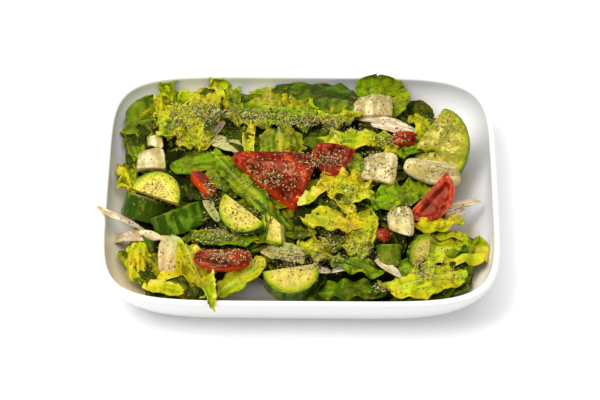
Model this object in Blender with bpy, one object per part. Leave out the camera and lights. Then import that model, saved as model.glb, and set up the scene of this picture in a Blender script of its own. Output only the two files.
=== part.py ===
"""A dish of house salad: a white rounded-rectangle dish with a heap of torn lettuce,
cucumber slices, tomato wedges, pale lettuce ribs and onion slivers.

Sizes and places are in millimetres and become metres as each mesh is made.
The origin is the middle of the dish's flat base, +X to the right, +Y to the back, +Z up.
"""
import math

import bmesh
import bpy
from mathutils import Matrix, Vector, noise

MM = 0.001

# The dish
HALF_LENGTH = 125.0
HALF_WIDTH = 93.5
DISH_HEIGHT = 36.0
CORNER_POWER = 6.0  # the outline is a superellipse of this power
BASE_INSET = 15.0  # how far the base stands in from the rim
BASE_EDGE = 0.8  # the worn edge between base and wall
BASE_BEVEL = 1.2  # how much further in the flat base ends than the wall above it
OUTER_CURVE = 1.35
FLOOR_HEIGHT = 5.0
RIM_THICKNESS = 4.0
SHOULDER = DISH_HEIGHT - RIM_THICKNESS / 2  # where the round of the rim starts
INNER_RUN = 24.0  # how far the inner wall comes in from the rim down to the floor
INNER_CURVE = 2.4
INNER_CROWD = 1.7  # crowds the inner wall's rings towards the floor, where it turns
OUTLINE_STEPS = 720
DISH_SIDES = 44
OUTER_STEPS = 5
RIM_STEPS = 4
INNER_STEPS = 7

# The heap
HEAP_LENGTH = 117.0  # half its length and half its width, where it meets the dish
HEAP_WIDTH = 86.0
HEAP_EDGE = 24.0  # its height at the edge, and how much higher its middle is
HEAP_RISE = 24.0
HEAP_POWER = 4.0
HEAP_SLOPE = 2.4
CORE_DEPTH = 2.0  # how far the packed core lies under the smooth dome
CORE_LUMP = 5.0
LUMP_SCALE = 0.045
LUMP_PLANE = math.pi  # the level at which the lumps are cut from the noise
CORE_LEAST = 9.0  # its lowest top
CORE_SHOULDER = 20.0  # the height at which its side turns over
CORE_SIDES = 26
SIDE_SHARES = (0.0, 0.35, 0.7, 1.0)  # where its rings lie up its side
TOP_SHARES = (0.95, 0.82, 0.64, 0.46, 0.28, 0.12)  # and from its edge in to its middle
CORE_LENGTH = 108.0  # half of the core's middle part, where pieces are set down
CORE_WIDTH = 78.0
SUNK_SHARE = 0.2  # of a piece's points that lie in the core, and how deep the last of them lies
SINK = 0.8
# Where the heap falls away, at the dish's wall or under what stands in it: x, y, reach and depth
HOLLOWS = [(112, 80, 40, 15), (-116, -74, 32, 12), (122, -6, 30, 11), (-124, 5, 22, 9), (118, -80, 26, 9),
           (-84, -24, 30, 11), (60, -50, 18, 6), (-10, -44, 16, 5)]
FLAT = 1.0  # degrees between faces of the fused heap that become one
KEPT_FACES = 0.78  # share of the fused heap's triangles that are kept
GAP = 0.45  # cut between the heap and whatever it touches
SHARPEST = 0.45  # the least share of that gap's length that is measured square to a face
CORE_GAP = 0.9  # between the dish and the heap's packed core
LEAN = 0.78  # a raised piece also comes forward by this share of its lift
SAME_POINT = 1e-6  # metres within which two points become one

# Leaves and slivers
LEAF_THICK = 1.3
ONION_THICK = 1.6
RAGGED = 0.16  # how uneven a leaf's edge is, and how much of its width is left at its ends
LEAF_END = 0.3
RAGGED_ALONG = 5  # how fast that unevenness changes along a leaf and across it
RAGGED_ACROSS = 3
AHEAD = 0.02  # share of its length over which a leaf's direction is measured, each way
ROWS_A_WAVE = 2.6
LEAST_WAVES = 1.5
WAVE_SHIFT = 0.37  # of a wave, for each step of the seed
WAVE_SLANT = 0.25  # of a wave, from a leaf's middle to its edge
FRILL_POWER = 1.5  # how closely the waves keep to the edge
LEAF_SEED = 1.7  # between the seeds of one leaf and the next, and of one onion sliver and the next
ONION_SEED = 2.3

# Toppings
ARC_STEP = 20.0  # degrees between the points of a round edge
HALF_CUT = 170.0  # a shorter arc than this runs in to the slice's middle
WEDGE_STEP = 25.0
WEDGE_LEVELS = 6

COLOURS = {
    "porcelain": (0.86, 0.85, 0.84),
    "lettuce": (0.42, 0.47, 0.06),
    "cucumber": (0.62, 0.62, 0.22),
    "tomato": (0.60, 0.06, 0.03),
    "rib": (0.74, 0.68, 0.50),
}
ROUGHNESS = {"porcelain": 0.25, "lettuce": 0.45, "cucumber": 0.35, "tomato": 0.3, "rib": 0.45}


# ---------------------------------------------------------------- meshes and objects
def material(name):
    """The material of that name, made the first time it is asked for."""
    found = bpy.data.materials.get(name)
    if found:
        return found
    made = bpy.data.materials.new(name)
    made.use_nodes = True
    shader = made.node_tree.nodes["Principled BSDF"]
    shader.inputs["Base Color"].default_value = (*COLOURS[name], 1.0)
    shader.inputs["Roughness"].default_value = ROUGHNESS[name]
    return made


def add_object(name, shape, finish):
    """An object in the scene from (points, faces) in millimetres."""
    points, faces = shape
    mesh = bpy.data.meshes.new(name)
    mesh.from_pydata([p * MM for p in points], [], faces)
    tidy = bmesh.new()
    tidy.from_mesh(mesh)
    bmesh.ops.recalc_face_normals(tidy, faces=tidy.faces)
    bmesh.ops.triangulate(tidy, faces=[f for f in tidy.faces if len(f.verts) > 3])
    tidy.to_mesh(mesh)
    tidy.free()
    made = bpy.data.objects.new(name, mesh)
    made.data.materials.append(material(finish))
    bpy.context.scene.collection.objects.link(made)
    return made


def grown(source, by):
    """A copy of an object whose skin lies outside the first by that many millimetres."""
    copy = source.copy()
    copy.data = source.data.copy()
    bpy.context.scene.collection.objects.link(copy)
    shape = bmesh.new()
    shape.from_mesh(copy.data)
    shape.normal_update()
    moves = []
    for point in shape.verts:
        normals = [face.normal for face in point.link_faces]
        out = sum(normals, Vector()).normalized()
        slant = max(SHARPEST, min(out.dot(n) for n in normals))
        moves.append(out * (by * MM / slant))
    for point, move in zip(shape.verts, moves):
        point.co += move
    shape.to_mesh(copy.data)
    shape.free()
    return copy


# ---------------------------------------------------------------- the dish
def superellipse(half_length, half_width, power, sides):
    """Points round the outline, closer together where it turns."""
    fine = OUTLINE_STEPS
    dense = []
    for i in range(fine):
        angle = 2 * math.pi * i / fine
        c, s = math.cos(angle), math.sin(angle)
        reach = (abs(c / half_length) ** power + abs(s / half_width) ** power) ** (-1 / power)
        dense.append(Vector((c * reach, s * reach, 0)))
    total = [0.0]
    around = 2 * math.pi
    length = sum((dense[(i + 1) % fine] - dense[i]).length for i in range(fine))
    for i in range(fine):
        before, here, after = dense[i - 1], dense[i], dense[(i + 1) % fine]
        turn = (here - before).angle(after - here)
        total.append(total[-1] + (after - here).length / length + turn / around)
    outline, at = [], 0
    for k in range(sides):
        goal = total[-1] * k / sides
        while total[at + 1] < goal:
            at += 1
        share = (goal - total[at]) / (total[at + 1] - total[at])
        outline.append(dense[at % fine].lerp(dense[(at + 1) % fine], share))
    return outline


def inner_inset(height):
    """How far the dish's inner wall stands in from the rim's outline at a height."""
    share = min(1.0, max(0.0, (height - FLOOR_HEIGHT) / (SHOULDER - FLOOR_HEIGHT)))
    return RIM_THICKNESS + INNER_RUN * (1 - share) ** INNER_CURVE


def outer_inset(height):
    """How far its outer wall stands in at a height."""
    return BASE_INSET * (1 - height / SHOULDER) ** OUTER_CURVE


def dish_stations():
    """(inset from the rim's outline, height) up the outside, over the rim and down the inside."""
    stations = [(BASE_INSET + BASE_BEVEL, 0.0)]
    radius = RIM_THICKNESS / 2
    for i in range(OUTER_STEPS + 1):
        height = BASE_EDGE + (SHOULDER - BASE_EDGE) * i / OUTER_STEPS
        stations.append((outer_inset(height), height))
    for i in range(1, RIM_STEPS):
        angle = math.pi * i / RIM_STEPS
        stations.append((radius * (1 - math.cos(angle)), SHOULDER + radius * math.sin(angle)))
    for i in range(INNER_STEPS + 1):
        height = FLOOR_HEIGHT + (SHOULDER - FLOOR_HEIGHT) * (1 - i / INNER_STEPS) ** INNER_CROWD
        stations.append((inner_inset(height), height))
    return stations


def lofted(rings):
    """(points, faces) of a closed body through rings of as many points each, capped flat."""
    sides = len(rings[0])
    points = [p for ring in rings for p in ring]
    faces = []
    for r in range(len(rings) - 1):
        for k in range(sides):
            a, b = r * sides + k, r * sides + (k + 1) % sides
            faces.append((a, b, b + sides, a + sides))
    faces.append(tuple(reversed(range(sides))))
    faces.append(tuple(range(len(points) - sides, len(points))))
    return points, faces


def ring(inset, height, sides):
    """The dish's outline that far in from its rim, at a height."""
    outline = superellipse(HALF_LENGTH - inset, HALF_WIDTH - inset, CORNER_POWER, sides)
    return [p + Vector((0, 0, height)) for p in outline]


def dish_shape():
    return lofted([ring(inset, height, DISH_SIDES) for inset, height in dish_stations()])


# ---------------------------------------------------------------- the heap's ground
def dome_height(x, y):
    """The smooth dome that the visible pieces follow."""
    out = (abs(x / HEAP_LENGTH) ** HEAP_POWER + abs(y / HEAP_WIDTH) ** HEAP_POWER) ** (1 / HEAP_POWER)
    return HEAP_EDGE + HEAP_RISE * (1 - min(out, 1.0) ** HEAP_SLOPE)


def on_heap(x, y, lift):
    """A point of the heap from its place on the dome and its height above it."""
    return Vector((x, y - LEAN * lift, dome_height(x, y) + lift))


def core_top(x, y):
    """The height of the packed core's lumpy top."""
    lump = noise.noise(Vector((x * LUMP_SCALE, y * LUMP_SCALE, LUMP_PLANE)))
    height = dome_height(x, y) - CORE_DEPTH + CORE_LUMP * lump
    for middle_x, middle_y, reach, depth in HOLLOWS:
        away = math.hypot(x - middle_x, y - middle_y) / reach
        height -= depth * max(0.0, 1 - away * away)
    return max(height, CORE_LEAST)


def core_shape():
    """The packed middle of the heap, from the dish's floor to its lumpy top."""
    rings = []
    edge = ring(inner_inset(CORE_SHOULDER) + CORE_GAP, 0, CORE_SIDES)
    low = FLOOR_HEIGHT + CORE_GAP
    for share in SIDE_SHARES:
        level = []
        for k, place in enumerate(edge):
            height = low + (min(core_top(place.x, place.y), CORE_SHOULDER) - low) * share
            level.append(ring(inner_inset(height) + CORE_GAP, height, CORE_SIDES)[k])
        rings.append(level)
    for share in TOP_SHARES:
        places = [p * share for p in edge]
        rings.append([Vector((p.x, p.y, core_top(p.x, p.y))) for p in places])
    return lofted(rings)


def settled(shape):
    """The shape let down along the line it was read on until SUNK_SHARE of it is in the core."""
    points, faces = shape
    over_core = [p for p in points if abs(p.x) < CORE_LENGTH and abs(p.y) < CORE_WIDTH]
    clear = sorted(p.z - core_top(p.x, p.y) for p in over_core)
    drop = max(0.0, clear[int(len(clear) * SUNK_SHARE)] + SINK)
    return [p + Vector((0, LEAN * drop, -drop)) for p in points], faces


# ---------------------------------------------------------------- leaves, ribs and slivers
def through(start, middle, end, share):
    """The point at a share of the smooth curve through three (x, y, lift) places."""
    a = (1 - share) * (1 - 2 * share)
    b = 4 * share * (1 - share)
    c = share * (2 * share - 1)
    return tuple(a * s + b * m + c * e for s, m, e in zip(start, middle, end))


def leaf_shape(start, middle, end, width, blunt=2.6, cup=0.0, roll=0.0, frill=0.0, taper=0.0,
               least=LEAF_END, thick=LEAF_THICK, rows=5, columns=3, seed=0.0):
    """A thin wavy solid along a curve over the heap.

    blunt squares its ends, cup raises its two edges (or lowers them) by a share of the half width,
    roll turns it about its own length in degrees, frill waves its edges by that height, taper makes
    its end wider than its start, and least is the share of its width that is left at its ends.
    """
    waves = max(LEAST_WAVES, rows / ROWS_A_WAVE)
    top, bottom = [], []
    for i in range(rows + 1):
        share = i / rows
        here = on_heap(*through(start, middle, end, share))
        along = on_heap(*through(start, middle, end, min(1, share + AHEAD)))
        back = on_heap(*through(start, middle, end, max(0, share - AHEAD)))
        way = (along - back).normalized()
        across = way.cross(Vector((0, 0, 1))).normalized()
        turn = Matrix.Rotation(math.radians(roll), 3, way)
        across = turn @ across
        normal = across.cross(way)
        rounded = max(least, (1 - abs(2 * share - 1) ** blunt) ** (1 / blunt))
        half = width / 2 * rounded * (1 + taper * (2 * share - 1))
        for j in range(columns + 1):
            side = 2 * j / columns - 1
            uneven = noise.noise(Vector((share * RAGGED_ALONG, side * RAGGED_ACROSS, seed)))
            ragged = 1 + RAGGED * uneven
            wave = math.sin(2 * math.pi * (waves * share + WAVE_SHIFT * seed + WAVE_SLANT * side))
            rise = cup * half * side * side + frill * wave * abs(side) ** FRILL_POWER
            point = here + across * half * side * ragged + normal * rise
            top.append(point)
            bottom.append(point - normal * thick)
    return thin_solid(top, bottom, rows, columns)


def thin_solid(top, bottom, rows, columns):
    """(points, faces) of a sheet with two faces split alike and a rim between them."""
    across = columns + 1
    under = len(top)
    faces, rim = [], []
    for i in range(rows):
        for j in range(columns):
            a = i * across + j
            b, c, d = a + 1, a + across + 1, a + across
            faces += [(a, b, c), (a, c, d)]
            faces += [(a + under, c + under, b + under), (a + under, d + under, c + under)]
    rim += [j for j in range(columns)]
    rim += [i * across + columns for i in range(rows)]
    rim += [rows * across + j for j in range(columns, 0, -1)]
    rim += [i * across for i in range(rows, 0, -1)]
    for k, a in enumerate(rim):
        b = rim[(k + 1) % len(rim)]
        faces.append((b, a, a + under, b + under))
    return top + bottom, faces


# ---------------------------------------------------------------- cucumber and tomato
def facing(azimuth, elevation, spin=0.0):
    """A turn that takes +Z to that direction, with +X level before the spin about it, in degrees."""
    a, e = math.radians(azimuth), math.radians(elevation)
    out = Vector((math.cos(e) * math.cos(a), math.cos(e) * math.sin(a), math.sin(e)))
    level = Vector((-math.sin(a), math.cos(a), 0))
    up = out.cross(level)
    turn = Matrix((level, up, out)).transposed()
    return turn @ Matrix.Rotation(math.radians(spin), 3, "Z")


def slice_shape(place, arc, azimuth, elevation, radius, thick, stretch=1.0):
    """A piece of a cucumber slice between two angles, with the middle of its disc at a place."""
    middle = on_heap(*place)
    turn = facing(azimuth, elevation)
    start, end = arc
    steps = round((end - start) / ARC_STEP)
    outline = []
    for i in range(steps + 1):
        angle = math.radians(start + (end - start) * i / steps)
        outline.append(Vector((radius * math.cos(angle), radius * stretch * math.sin(angle), 0)))
    if end - start < HALF_CUT:
        outline.append(Vector((0, 0, 0)))
    top = [middle + turn @ p for p in outline]
    bottom = [middle + turn @ (p - Vector((0, 0, thick))) for p in outline]
    return lofted([bottom, top])


def wedge_shape(place, radius, half_height, angle, azimuth, elevation, spin):
    """A tomato wedge: a sector of a squashed ball, one cut face up and its core edge at a place."""
    middle = on_heap(*place)
    turn = facing(azimuth, elevation, spin)
    rounds = round(angle / WEDGE_STEP)
    levels = WEDGE_LEVELS
    points = [Vector((0, half_height, 0)), Vector((0, -half_height, 0))]
    first = len(points)
    for i in range(1, levels):
        rise = math.pi * i / levels
        out = radius * math.sin(rise)
        for j in range(rounds + 1):
            down = math.radians(angle) * j / rounds
            points.append(Vector((out * math.cos(down), half_height * math.cos(rise), -out * math.sin(down))))
    across = rounds + 1
    faces = []
    for j in range(rounds):
        faces.append((0, first + j, first + j + 1))
        last = first + (levels - 2) * across + j
        faces.append((1, last + 1, last))
        for i in range(levels - 2):
            a = first + i * across + j
            faces.append((a, a + across, a + across + 1, a + 1))
    faces.append((0, *(first + i * across for i in range(levels - 1)), 1))
    faces.append((1, *(first + i * across + rounds for i in reversed(range(levels - 1))), 0))
    return [middle + turn @ p for p in points], faces


# ---------------------------------------------------------------- what lies where
# Each place is (x, y on the dome, lift above it).
CUCUMBERS = {
    "cucumber_1": slice_shape((-91, -10.5, 11.8), (19, 191), azimuth=-130, elevation=66, radius=17.5,
                              thick=7),
    "cucumber_2": slice_shape((-95, -10, -10), (10, 170), azimuth=68, elevation=40, radius=15.5, thick=14),
    "cucumber_3": slice_shape((-76, -21.5, -13), (5, 170), azimuth=118, elevation=38, radius=21, thick=15),
    "cucumber_4": slice_shape((-34, -27, 6), (150, 330), azimuth=-100, elevation=74, radius=16, thick=9),
    "cucumber_5": slice_shape((-12, -38, 1), (190, 330), azimuth=-150, elevation=60, radius=14, thick=8),
    "cucumber_6": slice_shape((-5, -66, 2), (176, 366), azimuth=-80, elevation=86, radius=17.5, thick=11),
    "cucumber_7": slice_shape((87, 31, 4), (-152, 93), azimuth=-104, elevation=60, radius=20.5, thick=8,
                              stretch=1.25),
    "cucumber_8": slice_shape((55, -50, -4), (20, 160), azimuth=92, elevation=36, radius=8, thick=13),
    "cucumber_9": slice_shape((80, -54, 0), (60, 200), azimuth=-60, elevation=50, radius=13, thick=5),
}
TOMATOES = {
    "tomato_1": leaf_shape((-43, 16, 8), (-18, 6, 10), (6, -5, 8), 26, blunt=6, cup=-0.3, roll=12, taper=0.75,
                           thick=14, rows=5, columns=3, seed=1),
    "tomato_2": wedge_shape((30, 6, 1), radius=25, half_height=12, angle=80, azimuth=-60, elevation=68,
                            spin=128),
    "tomato_3": leaf_shape((-67, 7, 4), (-59, -3, 6), (-53, -14, 4), 8, blunt=3, roll=-25, thick=6,
                           rows=5, columns=2, seed=2),
    "tomato_4": leaf_shape((-65, -57, 4), (-47, -60, 6), (-29, -58, 4), 13, blunt=3, roll=22, thick=6,
                           rows=5, columns=2, seed=3),
    "tomato_5": wedge_shape((79, -9, 7), radius=17, half_height=18.5, angle=75, azimuth=-110, elevation=66,
                            spin=-24),
    "tomato_6": leaf_shape((58, 33, 2), (66, 35, 5), (74, 37, 5), 9, blunt=4, roll=20, thick=7,
                           rows=3, columns=2, seed=4),
    "tomato_7": leaf_shape((47, -42, 1), (52, -43, 2), (57, -45, 1), 7, blunt=3, roll=15, thick=5,
                           rows=3, columns=2, seed=5),
}
RIBS = {
    "rib_1": leaf_shape((-96, 32, 2), (-95, 23, 4), (-95, 15, 4), 18, blunt=12, cup=-0.1, taper=0.08,
                        thick=5, rows=4, columns=4, seed=6),
    "rib_2": leaf_shape((-94, 43, 2), (-93, 36, 3), (-93, 31, 1), 10, blunt=8, cup=-0.1, thick=4,
                        rows=3, columns=2, seed=7),
    "rib_3": leaf_shape((45, 85, 13), (45, 71, 11), (45, 55, 5), 28, blunt=12, cup=-0.12, thick=6,
                        rows=5, columns=4, seed=8),
    "rib_4": leaf_shape((50, 20, 3), (50, 9, 5), (48, -3, 4), 22, blunt=12, cup=-0.12, thick=6,
                        rows=4, columns=4, seed=9),
    "rib_5": leaf_shape((66, 14, 4), (84, 12, 7.5), (101, 15.5, 6.5), 15, blunt=5, cup=-0.2, roll=8,
                        taper=0.25, thick=4, rows=5, columns=3, seed=10),
    "rib_6": leaf_shape((61, -22, 3), (63, -32, 6), (62, -42, 4), 16, blunt=8, cup=-0.2, thick=4,
                        rows=4, columns=3, seed=11),
}

# start, middle, end, width, then what differs from a plain leaf; a free one isn't let down to the
# core over its whole length, only its ends lie in it
LEAVES = [
    # back left
    ((-104, 88, 3), (-104, 68, 5), (-103, 47, 3), 20, dict(blunt=6, cup=-0.15, rows=4, columns=3)),
    ((-118, 52, 1), (-107, 50, 3), (-96, 42, 2), 11, dict(frill=1.4, rows=3)),
    ((-82, 76, 4), (-87, 88, 9), (-93, 97, 12), 10, dict(frill=1.5, rows=3, columns=2)),
    ((-91, 88, 2), (-91, 74, 4), (-94, 56, 2), 7, dict(rows=3, columns=2)),
    ((-86, 87, 5), (-82, 62, 10), (-78, 38, 6), 24, dict(frill=4, rows=6, columns=3, blunt=4)),
    ((-64, 90, 6), (-65, 60, 10), (-68, 24, 5), 27, dict(frill=4, rows=6, columns=3, blunt=4)),
    ((-50, 76, 5), (-53, 90, 10), (-60, 99, 14), 14, dict(frill=2, rows=3)),
    ((-43, 88, 3), (-44, 66, 6), (-39, 44, 4), 13, dict(frill=2, rows=4, roll=-20)),
    ((-111, 45, 0), (-105, 33, 2), (-103, 21, 1), 11, dict(rows=3, columns=2, frill=1)),
    ((-114, 25, 1), (-110, 12, 3), (-107, -1, 2), 12, dict(rows=4, columns=2, frill=2)),
    # left, towards the middle
    ((-83, 15, 3), (-69, 14, 7), (-54, 15, 4), 16, dict(cup=-0.4, rows=4, columns=3)),
    ((-57, 20, 4), (-43, 2, 6), (-17, -31, 3), 15, dict(cup=-0.15, rows=6, frill=1)),
    ((-62, 36, 2), (-50, 28, 5), (-37, 21, 3), 11, dict(rows=3, columns=2, thick=2.5)),
    ((-47, 57, 11), (-56, 50, 13), (-60, 38, 9), 8, dict(rows=3, columns=2, roll=25)),
    ((-60, -8, 2), (-57, -21, 4), (-50, -35, 3), 6, dict(rows=3, columns=2, thick=2)),
    # the middle of the back
    ((-21, 93, 5), (-20, 76, 10), (-18, 57, 7), 28, dict(cup=-0.2, rows=4, columns=3, blunt=5)),
    ((-18, 92, 4), (9, 86, 9), (34, 70, 6), 24, dict(cup=-0.25, rows=5, frill=1.5, blunt=4)),
    ((-5, 95, 9), (1, 68, 10), (10, 46, 7), 13, dict(frill=3, rows=5)),
    ((7, 53, 6), (23, 50, 9), (39, 57, 8), 13, dict(frill=2.5, rows=4)),
    ((6, 70, 2), (20, 66, 5), (36, 60, 2), 16, dict(cup=-0.3, rows=3, columns=2)),
    ((-41, 52, 3), (-16, 52, 7), (12, 44, 5), 20, dict(frill=2, rows=4)),
    ((-14, 43, 2), (-13, 28, 9), (-12, 11, 6), 33, dict(cup=-0.3, rows=4, columns=3)),
    ((-30, 43, 3), (-33, 28, 7), (-31, 12, 5), 7, dict(rows=3, columns=2)),
    ((11, 25, 1), (28, 29, 6), (48, 30, 4), 15, dict(frill=2, rows=4)),
    ((24, 30, 2), (22, 22, 8), (29, 12, 4), 9, dict(rows=3, columns=2, roll=30)),
    ((34, 22, 0), (35, 10, 3), (36, -1, 0), 10, dict(rows=3, columns=2)),
    # back right
    ((49, 101, 15), (52, 80, 4), (60, 54, -1), 34, dict(cup=0.2, rows=6, columns=4, least=0.12, free=True)),
    ((36, 84, 0), (49, 84, 4), (62, 78, 0), 16, dict(rows=3, columns=2)),
    ((70, 26, 8), (84, 31, 12), (99, 25, 9), 16, dict(frill=2.5, rows=4)),
    ((73, 56, 9), (79, 46, 12), (84, 34, 10), 12, dict(frill=2, rows=3, columns=2)),
    ((60, 25, 2), (68, 24, 4), (77, 29, 3), 10, dict(frill=2, rows=3, columns=2)),
    ((43, 31, 4), (52, 29, 6), (61, 23, 3), 13, dict(frill=2, rows=3, columns=2)),
    # front right
    ((82, -1, 3), (62, -12, 8), (42, -22, 4), 20, dict(frill=2.5, rows=5)),
    ((70, -34, 1), (86, -31, 5), (102, -22, 4), 10, dict(frill=1.5, rows=4, columns=2)),
    ((70, -50, 3), (94, -47, 9), (119, -41, 9), 23, dict(frill=3, rows=5, columns=3)),
    ((56, -77, 1), (80, -68, 6), (104, -61, 5), 22, dict(cup=-0.15, rows=5, frill=1.5)),
    ((48, -73, 1), (64, -75, 3), (81, -79, 2), 8, dict(rows=3, columns=2, frill=1)),
    ((85, -40, 4), (96, -37, 7), (105, -36, 5), 8, dict(rows=3, columns=2, frill=1)),
    ((64, -58, 2), (66, -64, 4), (66, -71, 1), 9, dict(rows=3, columns=2)),
    # front middle
    ((14, -4, 5), (30, -10, 10), (48, -14, 6), 20, dict(frill=4, rows=5, columns=3)),
    ((17, -6, 8), (24, -19, 10), (37, -35, 6), 8, dict(rows=4, columns=2)),
    ((2, -31, 4), (18, -34, 9), (36, -39, 6), 16, dict(frill=1.5, rows=4)),
    ((39, -26, 4), (38, -42, 7), (35, -60, 4), 20, dict(frill=2, rows=4)),
    ((1, -49, 3), (10, -54, 6), (21, -61, 3), 13, dict(frill=3, rows=4)),
    ((-22, -53, 6), (-10, -55, 10), (4, -58, 7), 14, dict(rows=3, columns=2, thick=2.5, blunt=4)),
    ((20, -60, 3), (36, -64, 5), (52, -66, 3), 13, dict(frill=1.5, rows=3, columns=2)),
    ((12, -78, 2), (30, -77, 5), (51, -76, 3), 14, dict(frill=2.5, rows=5)),
    ((-2, -24, 3), (9, -17, 5), (17, -8, 3), 9, dict(rows=3, columns=2, thick=2.5)),
    # front left
    ((-73, -44, 3), (-50, -46, 7), (-26, -48, 4), 11, dict(rows=4, columns=2, frill=1)),
    ((-72, -50, 3), (-64, -64, 6), (-56, -80, 4), 18, dict(frill=2.5, rows=4)),
    ((-57, -70, -1), (-54, -78, 11.5), (-52, -88, 10.5), 8, dict(rows=4, columns=2, taper=-0.6, free=True)),
    ((-51, -79, 2), (-38, -72, 5), (-22, -61, 4), 14, dict(frill=1.5, rows=4)),
    ((-98, -42, 3), (-98, -56, 5), (-97, -70, 1), 21, dict(cup=-0.3, rows=4, columns=3, blunt=4)),
    ((-80, -42, 4), (-81, -54, 6), (-81, -66, 3), 12, dict(rows=3, columns=2, blunt=6, thick=2)),
    ((-74, -46, 4), (-73, -57, 6), (-76, -69, 3), 6, dict(rows=3, columns=2)),
    ((-95, -68, 3), (-84, -67, 5), (-73, -66, 3), 6, dict(rows=3, columns=2, thick=2)),
    ((-97, -71, 0), (-84, -74, 1), (-71, -78, 0), 9, dict(rows=3, columns=2, thick=2)),
]
OVER_RIM = 0  # the number of the onion sliver that lies over the rim and isn't let down
# onion slivers: start, middle, end, width
ONIONS = [
    ((-127, -9, 15), (-112, -20, 11), (-95, -37, -13), 4),
    ((-119, -36, 4), (-104, -37, 6), (-86, -43, 2), 9),
    ((34, 52, 8), (54, 49, 11), (76, 40, 7), 7),
    ((44, 45, 6), (58, 42, 8), (75, 36, 5), 5),
    ((93, -16, 2), (104, -10, 6), (114, -4, 8), 5),
    ((91, -24, 2), (98, -20, 4), (103, -14, 3), 8),
    ((47, -60, 4), (55, -64, 7), (63, -69, 4), 6),
    ((1, -65, 5), (10, -66, 8), (20, -67, 5), 5),
    ((20, -67, 4), (27, -65, 7), (35, -64, 4), 5),
    ((-56, 33, 3), (-53, 40, 6), (-49, 47, 4), 5),
]


# ---------------------------------------------------------------- putting it together
def heap_pieces():
    """The packed core, then the leaves and the onion slivers that are joined to it."""
    pieces = [core_shape()]
    for number, (start, middle, end, width, detail) in enumerate(LEAVES):
        free = detail.pop("free", False)
        leaf = leaf_shape(start, middle, end, width, seed=number * LEAF_SEED, **detail)
        pieces.append(leaf if free else settled(leaf))
    for number, (start, middle, end, width) in enumerate(ONIONS):
        sliver = leaf_shape(start, middle, end, width, thick=ONION_THICK, blunt=2, cup=0.3,
                            rows=4, columns=2, seed=number * ONION_SEED)
        pieces.append(sliver if number == OVER_RIM else settled(sliver))
    return pieces


def apply_boolean(target, others, operation):
    """Joins others to the target or cuts them out of it, and removes them."""
    group = bpy.data.collections.new("tools")
    bpy.context.scene.collection.children.link(group)
    for other in others:
        bpy.context.scene.collection.objects.unlink(other)
        group.objects.link(other)
    step = target.modifiers.new(operation.lower(), "BOOLEAN")
    step.operation = operation
    step.operand_type = "COLLECTION"
    step.collection = group
    step.solver = "EXACT"
    shown = target.evaluated_get(bpy.context.evaluated_depsgraph_get())
    mesh = bpy.data.meshes.new_from_object(shown)
    target.modifiers.remove(step)
    target.data = mesh
    for other in others:
        bpy.data.objects.remove(other)
    bpy.data.collections.remove(group)


def keep_lowest_body(target):
    """Drops loose scraps and the skins of sealed hollows, which fills them."""
    shape = bmesh.new()
    shape.from_mesh(target.data)
    bmesh.ops.remove_doubles(shape, verts=shape.verts, dist=SAME_POINT)
    unseen = set(shape.faces)
    bodies = []
    while unseen:
        body, edge = set(), [unseen.pop()]
        while edge:
            face = edge.pop()
            body.add(face)
            for line in face.edges:
                if len(line.link_faces) != 2:
                    continue
                for other in line.link_faces:
                    if other in unseen:
                        unseen.remove(other)
                        edge.append(other)
        bodies.append(body)
    bodies.sort(key=lambda body: min(point.co.z for face in body for point in face.verts))
    loose = [face for body in bodies[1:] for face in body]
    bmesh.ops.delete(shape, geom=loose, context="FACES")
    bmesh.ops.dissolve_limit(shape, angle_limit=math.radians(FLAT), verts=shape.verts, edges=shape.edges)
    bmesh.ops.triangulate(shape, faces=shape.faces)
    shape.to_mesh(target.data)
    shape.free()


def main():
    for old in list(bpy.data.objects):
        bpy.data.objects.remove(old)
    dish = add_object("dish", dish_shape(), "porcelain")
    toppings = []
    for group, finish in ((CUCUMBERS, "cucumber"), (TOMATOES, "tomato"), (RIBS, "rib")):
        for name, shape in group.items():
            toppings.append(add_object(name, shape, finish))
    pieces = heap_pieces()
    salad = add_object("salad", pieces[0], "lettuce")
    others = [add_object(f"piece_{i}", shape, "lettuce") for i, shape in enumerate(pieces[1:])]
    apply_boolean(salad, others, "UNION")
    cutters = [grown(o, GAP) for o in [dish, *toppings]]
    apply_boolean(salad, cutters, "DIFFERENCE")
    keep_lowest_body(salad)
    fewer = salad.modifiers.new("fewer", "DECIMATE")
    fewer.ratio = KEPT_FACES


main()
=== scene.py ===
"""The looks of a dish of house salad: a glazed dish, and a heap of dressed lettuce, cucumber,
tomato, pale ribs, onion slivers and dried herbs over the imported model's frame.

Shapes are worked out in millimetres, on the formulas the solids use, and become metres as each
mesh is made. A place in the heap is (x, y on its smooth dome, lift above the dome).
"""
import math
import random
from collections import namedtuple

import bpy
import numpy as np
from mathutils import Matrix, Vector, noise
from mathutils.bvhtree import BVHTree


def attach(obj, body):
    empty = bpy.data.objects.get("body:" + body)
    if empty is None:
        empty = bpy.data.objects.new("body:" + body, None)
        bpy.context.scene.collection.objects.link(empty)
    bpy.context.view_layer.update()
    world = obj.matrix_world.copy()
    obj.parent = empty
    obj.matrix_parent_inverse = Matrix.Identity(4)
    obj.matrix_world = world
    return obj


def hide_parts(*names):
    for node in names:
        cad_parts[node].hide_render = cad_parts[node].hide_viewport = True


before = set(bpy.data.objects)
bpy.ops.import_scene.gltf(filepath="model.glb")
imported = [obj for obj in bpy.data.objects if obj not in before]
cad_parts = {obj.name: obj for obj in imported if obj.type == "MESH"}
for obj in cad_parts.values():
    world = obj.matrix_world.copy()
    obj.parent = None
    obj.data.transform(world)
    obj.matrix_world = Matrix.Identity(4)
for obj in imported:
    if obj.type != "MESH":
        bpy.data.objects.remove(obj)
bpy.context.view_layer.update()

MM = 0.001
TURN = 2 * math.pi
TINY = 1e-9

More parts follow.
